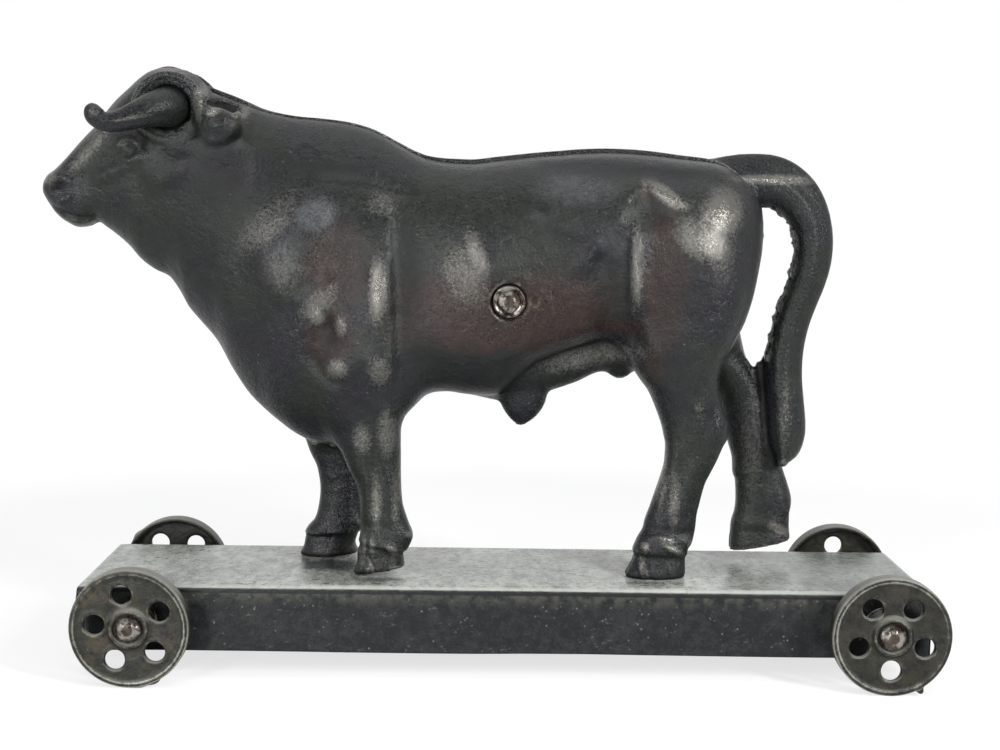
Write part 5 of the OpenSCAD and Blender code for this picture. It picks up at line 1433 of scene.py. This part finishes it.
ironFinish = {
    "black": (0.0048, 0.0049, 0.0070, 1), "green": (0.0060, 0.0078, 0.0058, 1),
    "brown": (0.0126, 0.0064, 0.0048, 1),
    # blue is the pale blue-grey of the painted sheen, partly bloom
    "blueBloomAndSheen": (0.0260, 0.0288, 0.0300, 1), "rust": (0.052, 0.026, 0.014, 1), "pale": (0.085, 0.080, 0.070, 1),
    # rubbed is the paler bare metal of wear and of the painted highlights
    "rubbedAndHighlight": (0.122, 0.119, 0.108, 1), "rubbedAndHighlightMetal": 0.78, "rough": -0.01, "specular": 0.25,
    "noise": {"fine": (2100, 2), "grain": (900, 3, 0.6), "mid": (260, 3), "broad": (42, 4, 0.6),
              "lump": (120, 2), "chipArea": (95, 1), "pitArea": (70, 1)},
    "chips": 330.0, "pits": 210.0,
    "bumps": {"lump": 0.00045, "mid": 0.00046, "grain": 0.00036, "fine": 0.00013, "pit": 0.0002},
}


def ironMaterial(name, k, patinaAndSheen=True):
    m, t = emptyMaterial(name)
    where = nodeOf(t, "TexCoord").outputs["Object"]
    n = noisesOf(t, where, k["noise"])
    colour = blendOf(t, spread(t, n["broad"], 0.35, 0.65, soft=True), k["black"], k["green"])
    for layer in ("green", "brown", "blueBloomAndSheen", "rust") if patinaAndSheen else ():
        mask = sumOf(t, (layerOf(t, layer), 1.2), (n["broad"], 0.6), (n["mid"], 0.2), (n["grain"], 0.1))
        colour = blendOf(t, spread(t, mask, 0.72, 1.5, soft=True), colour, k[layer])
    # painted shade: the dull layer darkens the colour in creases, hollows and dark areas below, and adds to
    # the roughness
    dullAndShade = layerOf(t, "dullAndShade")
    shade = sumOf(t, (n["mid"], 1.2), (n["grain"], 1.8), (n["fine"], 1.8), (dullAndShade, -0.5))
    shade = mathOf(t, "MAXIMUM", mathOf(t, "SUBTRACT", shade, 1.4), 0.15)
    shade = nodeOf(t, "CombineColor", {0: shade, 1: shade, 2: shade}).outputs[0]
    colour = blendOf(t, 1.0, colour, shade, "MULTIPLY")
    chips = spread(t, cellsOf(t, where, k["chips"]), 0.13, 0.05)
    colour = blendOf(t, mathOf(t, "MULTIPLY", chips, spread(t, n["chipArea"], 0.56, 0.66)), colour, k["pale"])
    # rubbed ridges and painted highlight spots are paler, barer metal, most of all on the tops of the grain
    rubbedAndHighlight = layerOf(t, "rubbedAndHighlight")
    tops = sumOf(t, (rubbedAndHighlight, 1.0), (n["grain"], 1.0), (n["fine"], 1.0), (n["mid"], 0.2), (n["broad"], 0.2))
    tops = mathOf(t, "MULTIPLY", spread(t, tops, 1.25, 2.25, soft=True), spread(t, rubbedAndHighlight, 0.0, 0.3))
    colour = blendOf(t, tops, colour, k["rubbedAndHighlight"])
    pits = spread(t, cellsOf(t, where, k["pits"]), 0.0, 0.2)
    n["pit"] = mathOf(t, "MAXIMUM", pits, spread(t, n["pitArea"], 0.62, 0.5))
    rough = sumOf(t, (n["fine"], 0.16), (n["grain"], 0.24), (n["broad"], 0.2), (dullAndShade, 0.26), (rubbedAndHighlight, -0.12))
    rough = mathOf(t, "ADD", rough, k["rough"])
    metal = mathOf(t, "MULTIPLY", tops, k["rubbedAndHighlightMetal"])
    finishOf(t, colour, rough, bumpsOf(t, n, k["bumps"]), metal, k["specular"])
    return m


wheelFinish = {
    "green": (0.030, 0.031, 0.019, 1), "grey": (0.066, 0.062, 0.039, 1), "rust": (0.125, 0.092, 0.056, 1),
    "dark": (0.012, 0.013, 0.012, 1), "pale": (0.22, 0.22, 0.195, 1), "rough": 0.21, "wornAndHighlightMetal": 0.6,
    "specular": 0.25,
    "noise": {"fine": (1100, 3), "mid": (330, 4, 0.6), "broad": (85, 4, 0.65), "rust": (75, 3)},
    "bumps": {"mid": 0.0003, "fine": 0.00014},
}
# light and rust: the front near wheel is paler and rustier than the others
wheelLevel = {"wheelIron": (0.27, 0.8), "darkWheelIron": (0.20, 0.35)}


def wheelMaterial(name, k, level, rusty):
    m, t = emptyMaterial(name)
    coords = nodeOf(t, "TexCoord").outputs
    up = nodeOf(t, "SeparateXYZ", {0: coords["Normal"]}).outputs["Z"]
    n = noisesOf(t, coords["Object"], k["noise"])
    colour = blendOf(t, spread(t, n["broad"], 0.38, 0.66, soft=True), k["green"], k["grey"])
    rust = spread(t, sumOf(t, (n["rust"], 1.0), (n["mid"], 0.35)), 0.68, 0.90, 0.0, rusty, soft=True)
    colour = blendOf(t, rust, colour, k["rust"])
    colour = blendOf(t, spread(t, n["mid"], 0.50, 0.36, 0.0, 0.85), colour, k["dark"])
    colour = blendOf(t, spread(t, n["fine"], 0.56, 0.74, 0.0, 0.3), colour, k["pale"])
    # wear and painted highlight: paler, barer metal on the ridge, rim, hole lips and hub edge
    wornAndHighlight = sumOf(t, (layerOf(t, "wornAndHighlight"), 0.8), (n["mid"], 0.6), (n["fine"], 0.3))
    wornAndHighlight = spread(t, wornAndHighlight, 0.58, 1.1, 0.0, 0.85, soft=True)
    colour = blendOf(t, 1.0, colour, (level, level, level, 1), "MULTIPLY")
    # painted light: faces that look upwards are painted paler, as if lit from above
    colour = blendOf(t, spread(t, up, 0.25, 0.85, 0.0, 0.5), colour, k["pale"])
    colour = blendOf(t, wornAndHighlight, colour, k["pale"])
    metal = mathOf(t, "MULTIPLY", wornAndHighlight, k["wornAndHighlightMetal"])
    rough = mathOf(t, "ADD", sumOf(t, (n["broad"], 0.3), (n["fine"], 0.16), (wornAndHighlight, -0.14)), k["rough"])
    finishOf(t, colour, rough, bumpsOf(t, n, k["bumps"]), metal, k["specular"])
    return m


# the brush marks lie across the deck, which darkens between the two places of darkEnd
sheetFinish = {
    "topPale": (0.345, 0.355, 0.320, 1), "topDark": (0.075, 0.090, 0.076, 1),
    # the colour of the painted shade and reflection below the hooves
    "hoofShade": (0.032, 0.041, 0.037, 1),
    "scratch": (0.54, 0.55, 0.51, 1), "skirtDark": (0.0040, 0.0048, 0.0060, 1),
    "skirtPale": (0.0120, 0.0134, 0.0132, 1),
    "fleck": (0.085, 0.088, 0.082, 1), "bandOlive": (0.034, 0.034, 0.027, 1), "edge": (0.27, 0.28, 0.26, 1),
    "topRough": 0.17, "skirtRough": 0.46, "specular": 0.22, "edgeShare": 0.75, "band": (0.0285, 0.0345),
    "darkEnd": (0.105, 0.195), "flecks": 420.0,
    "noise": {"brush": (1.0, 5, 0.65, (210.0, 75.0, 210.0)), "patches": (1.0, 4, 0.6, (34.0, 20.0, 60.0)),
              "mid": (260, 4, 0.6), "fine": (1100, 2), "marks": (1.0, 4, 0.65, (300.0, 420.0, 420.0)),
              "scuffs": (1.0, 4, 0.7, (240.0, 240.0, 460.0)), "fleckArea": (150, 2)},
    "bumps": {"brush": 0.00012, "mid": 0.00022, "marks": 0.00012, "fine": 0.00012},
}


def sheetMaterial(name, k):
    m, t = emptyMaterial(name)
    coords = nodeOf(t, "TexCoord").outputs
    up = nodeOf(t, "SeparateXYZ", {0: coords["Normal"]}).outputs["Z"]
    place = nodeOf(t, "SeparateXYZ", {0: coords["Object"]}).outputs
    level = spread(t, up, 0.45, 0.8, soft=True)
    n = noisesOf(t, coords["Object"], k["noise"])
    # top: pale and dark marks, scratches, painted shade and reflection below the hooves, and the darker end
    share = sumOf(t, (n["brush"], 0.25), (n["patches"], 0.25), (n["marks"], 0.5))
    top = blendOf(t, spread(t, share, 0.44, 0.58, soft=True), k["topPale"], k["topDark"])
    top = blendOf(t, spread(t, n["marks"], 0.53, 0.60, 0.0, 0.45), top, k["scratch"])
    top = blendOf(t, spread(t, n["marks"], 0.46, 0.39, 0.0, 0.95), top, k["topDark"])
    # painted shade and reflection below the hooves, broken up by the marks
    hoofShade = sumOf(t, (layerOf(t, "hoofShade"), 1.0), (n["marks"], 1.4), (n["brush"], 0.6))
    top = blendOf(t, spread(t, hoofShade, 1.25, 1.9, 0.0, 0.9, soft=True), top, k["hoofShade"])
    end = sumOf(t, (place["X"], 1.0), (n["patches"], 0.06))
    top = blendOf(t, spread(t, end, *k["darkEnd"], 0.0, 0.7), top, k["topDark"])
    # skirts: dark, with an olive band below the bend, flecks and scuffs
    share = sumOf(t, (n["mid"], 0.45), (n["patches"], 0.25), (n["fine"], 0.3))
    skirt = blendOf(t, spread(t, share, 0.44, 0.60, soft=True), k["skirtDark"], k["skirtPale"])
    band = mathOf(t, "MULTIPLY", spread(t, place["Z"], *k["band"], soft=True), spread(t, n["mid"], 0.35, 0.6))
    skirt = blendOf(t, band, skirt, k["bandOlive"])
    fleck = spread(t, cellsOf(t, coords["Object"], k["flecks"]), 0.22, 0.08)
    fleck = mathOf(t, "MULTIPLY", fleck, spread(t, n["fleckArea"], 0.50, 0.60))
    skirt = blendOf(t, fleck, skirt, k["fleck"])
    skirt = blendOf(t, spread(t, n["scuffs"], 0.62, 0.72, 0.0, 0.45), skirt, k["fleck"])
    colour = blendOf(t, level, skirt, top)
    # the upper part of the bend is pale, and its lower part dark where it meets the skirt
    paleBend = mathOf(t, "MULTIPLY", spread(t, up, 0.5, 0.66, soft=True), spread(t, up, 0.995, 0.9, soft=True))
    colour = blendOf(t, mathOf(t, "MULTIPLY", paleBend, k["edgeShare"]), colour, k["edge"])
    under = mathOf(t, "MULTIPLY", spread(t, up, 0.02, 0.08, soft=True), spread(t, up, 0.50, 0.36, soft=True))
    colour = blendOf(t, under, colour, k["skirtDark"])
    rough = spread(t, level, 0.0, 1.0, k["skirtRough"], k["topRough"])
    rough = mathOf(t, "SUBTRACT", sumOf(t, (rough, 1.0), (n["mid"], 0.3), (n["brush"], 0.2)), 0.25)
    finishOf(t, colour, rough, bumpsOf(t, n, k["bumps"]), specular=k["specular"])
    return m


barFinish = {
    "brown": (0.056, 0.042, 0.035, 1), "bright": (0.22, 0.205, 0.185, 1), "dark": (0.022, 0.017, 0.015, 1),
    "rough": 0.13, "metal": 0.8,
    "noise": {"broad": (190, 3, 0.55), "mid": (480, 3), "fine": (1700, 2)},
    "bumps": {"broad": 0.0004, "mid": 0.00022, "fine": 0.00004},
}


# "crown" is 1 on the worn middle of an end face and 0 on the rest
def barMaterial(name, k):
    m, t = emptyMaterial(name)
    crown = layerOf(t, "crown")
    n = noisesOf(t, nodeOf(t, "TexCoord").outputs["Object"], k["noise"])
    colour = blendOf(t, spread(t, n["broad"], 0.38, 0.6, soft=True), k["brown"], k["bright"])
    end = spread(t, sumOf(t, (crown, 1.0), (n["mid"], 0.5)), 0.55, 0.95, soft=True)
    colour = blendOf(t, end, colour, k["brown"])
    colour = blendOf(t, spread(t, n["mid"], 0.5, 0.62, 0.0, 0.9), colour, k["dark"])
    rough = mathOf(t, "ADD", sumOf(t, (n["broad"], 0.2), (n["fine"], 0.12), (crown, 0.16)), k["rough"])
    finishOf(t, colour, rough, bumpsOf(t, n, k["bumps"]), metal=k["metal"])
    return m


bullIron = ironMaterial("bullIron", ironFinish)
hornIron = ironMaterial("hornIron", ironFinish, False)
wheelIron, darkWheelIron = (wheelMaterial(name, wheelFinish, *level) for name, level in wheelLevel.items())
deckSheet = sheetMaterial("deckSheet", sheetFinish)
bareSteel = barMaterial("bareSteel", barFinish)
finishes = (((nearBull, farBull), bullIron), ((nearHornPiece, farHornPiece), hornIron),
            (wheelPieces[:1], wheelIron), (wheelPieces[1:], darkWheelIron), ((deckPiece,), deckSheet),
            (steelPieces, bareSteel))
for pieces, finish in finishes:
    for piece in pieces:
        piece.data.materials.append(finish)
for name in ("hind_hoof_screw", "front_hoof_screw", "hind_hoof_washer", "front_hoof_washer"):
    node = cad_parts[name]
    node.data.materials.clear()
    node.data.materials.append(bareSteel)
print("finishes set")
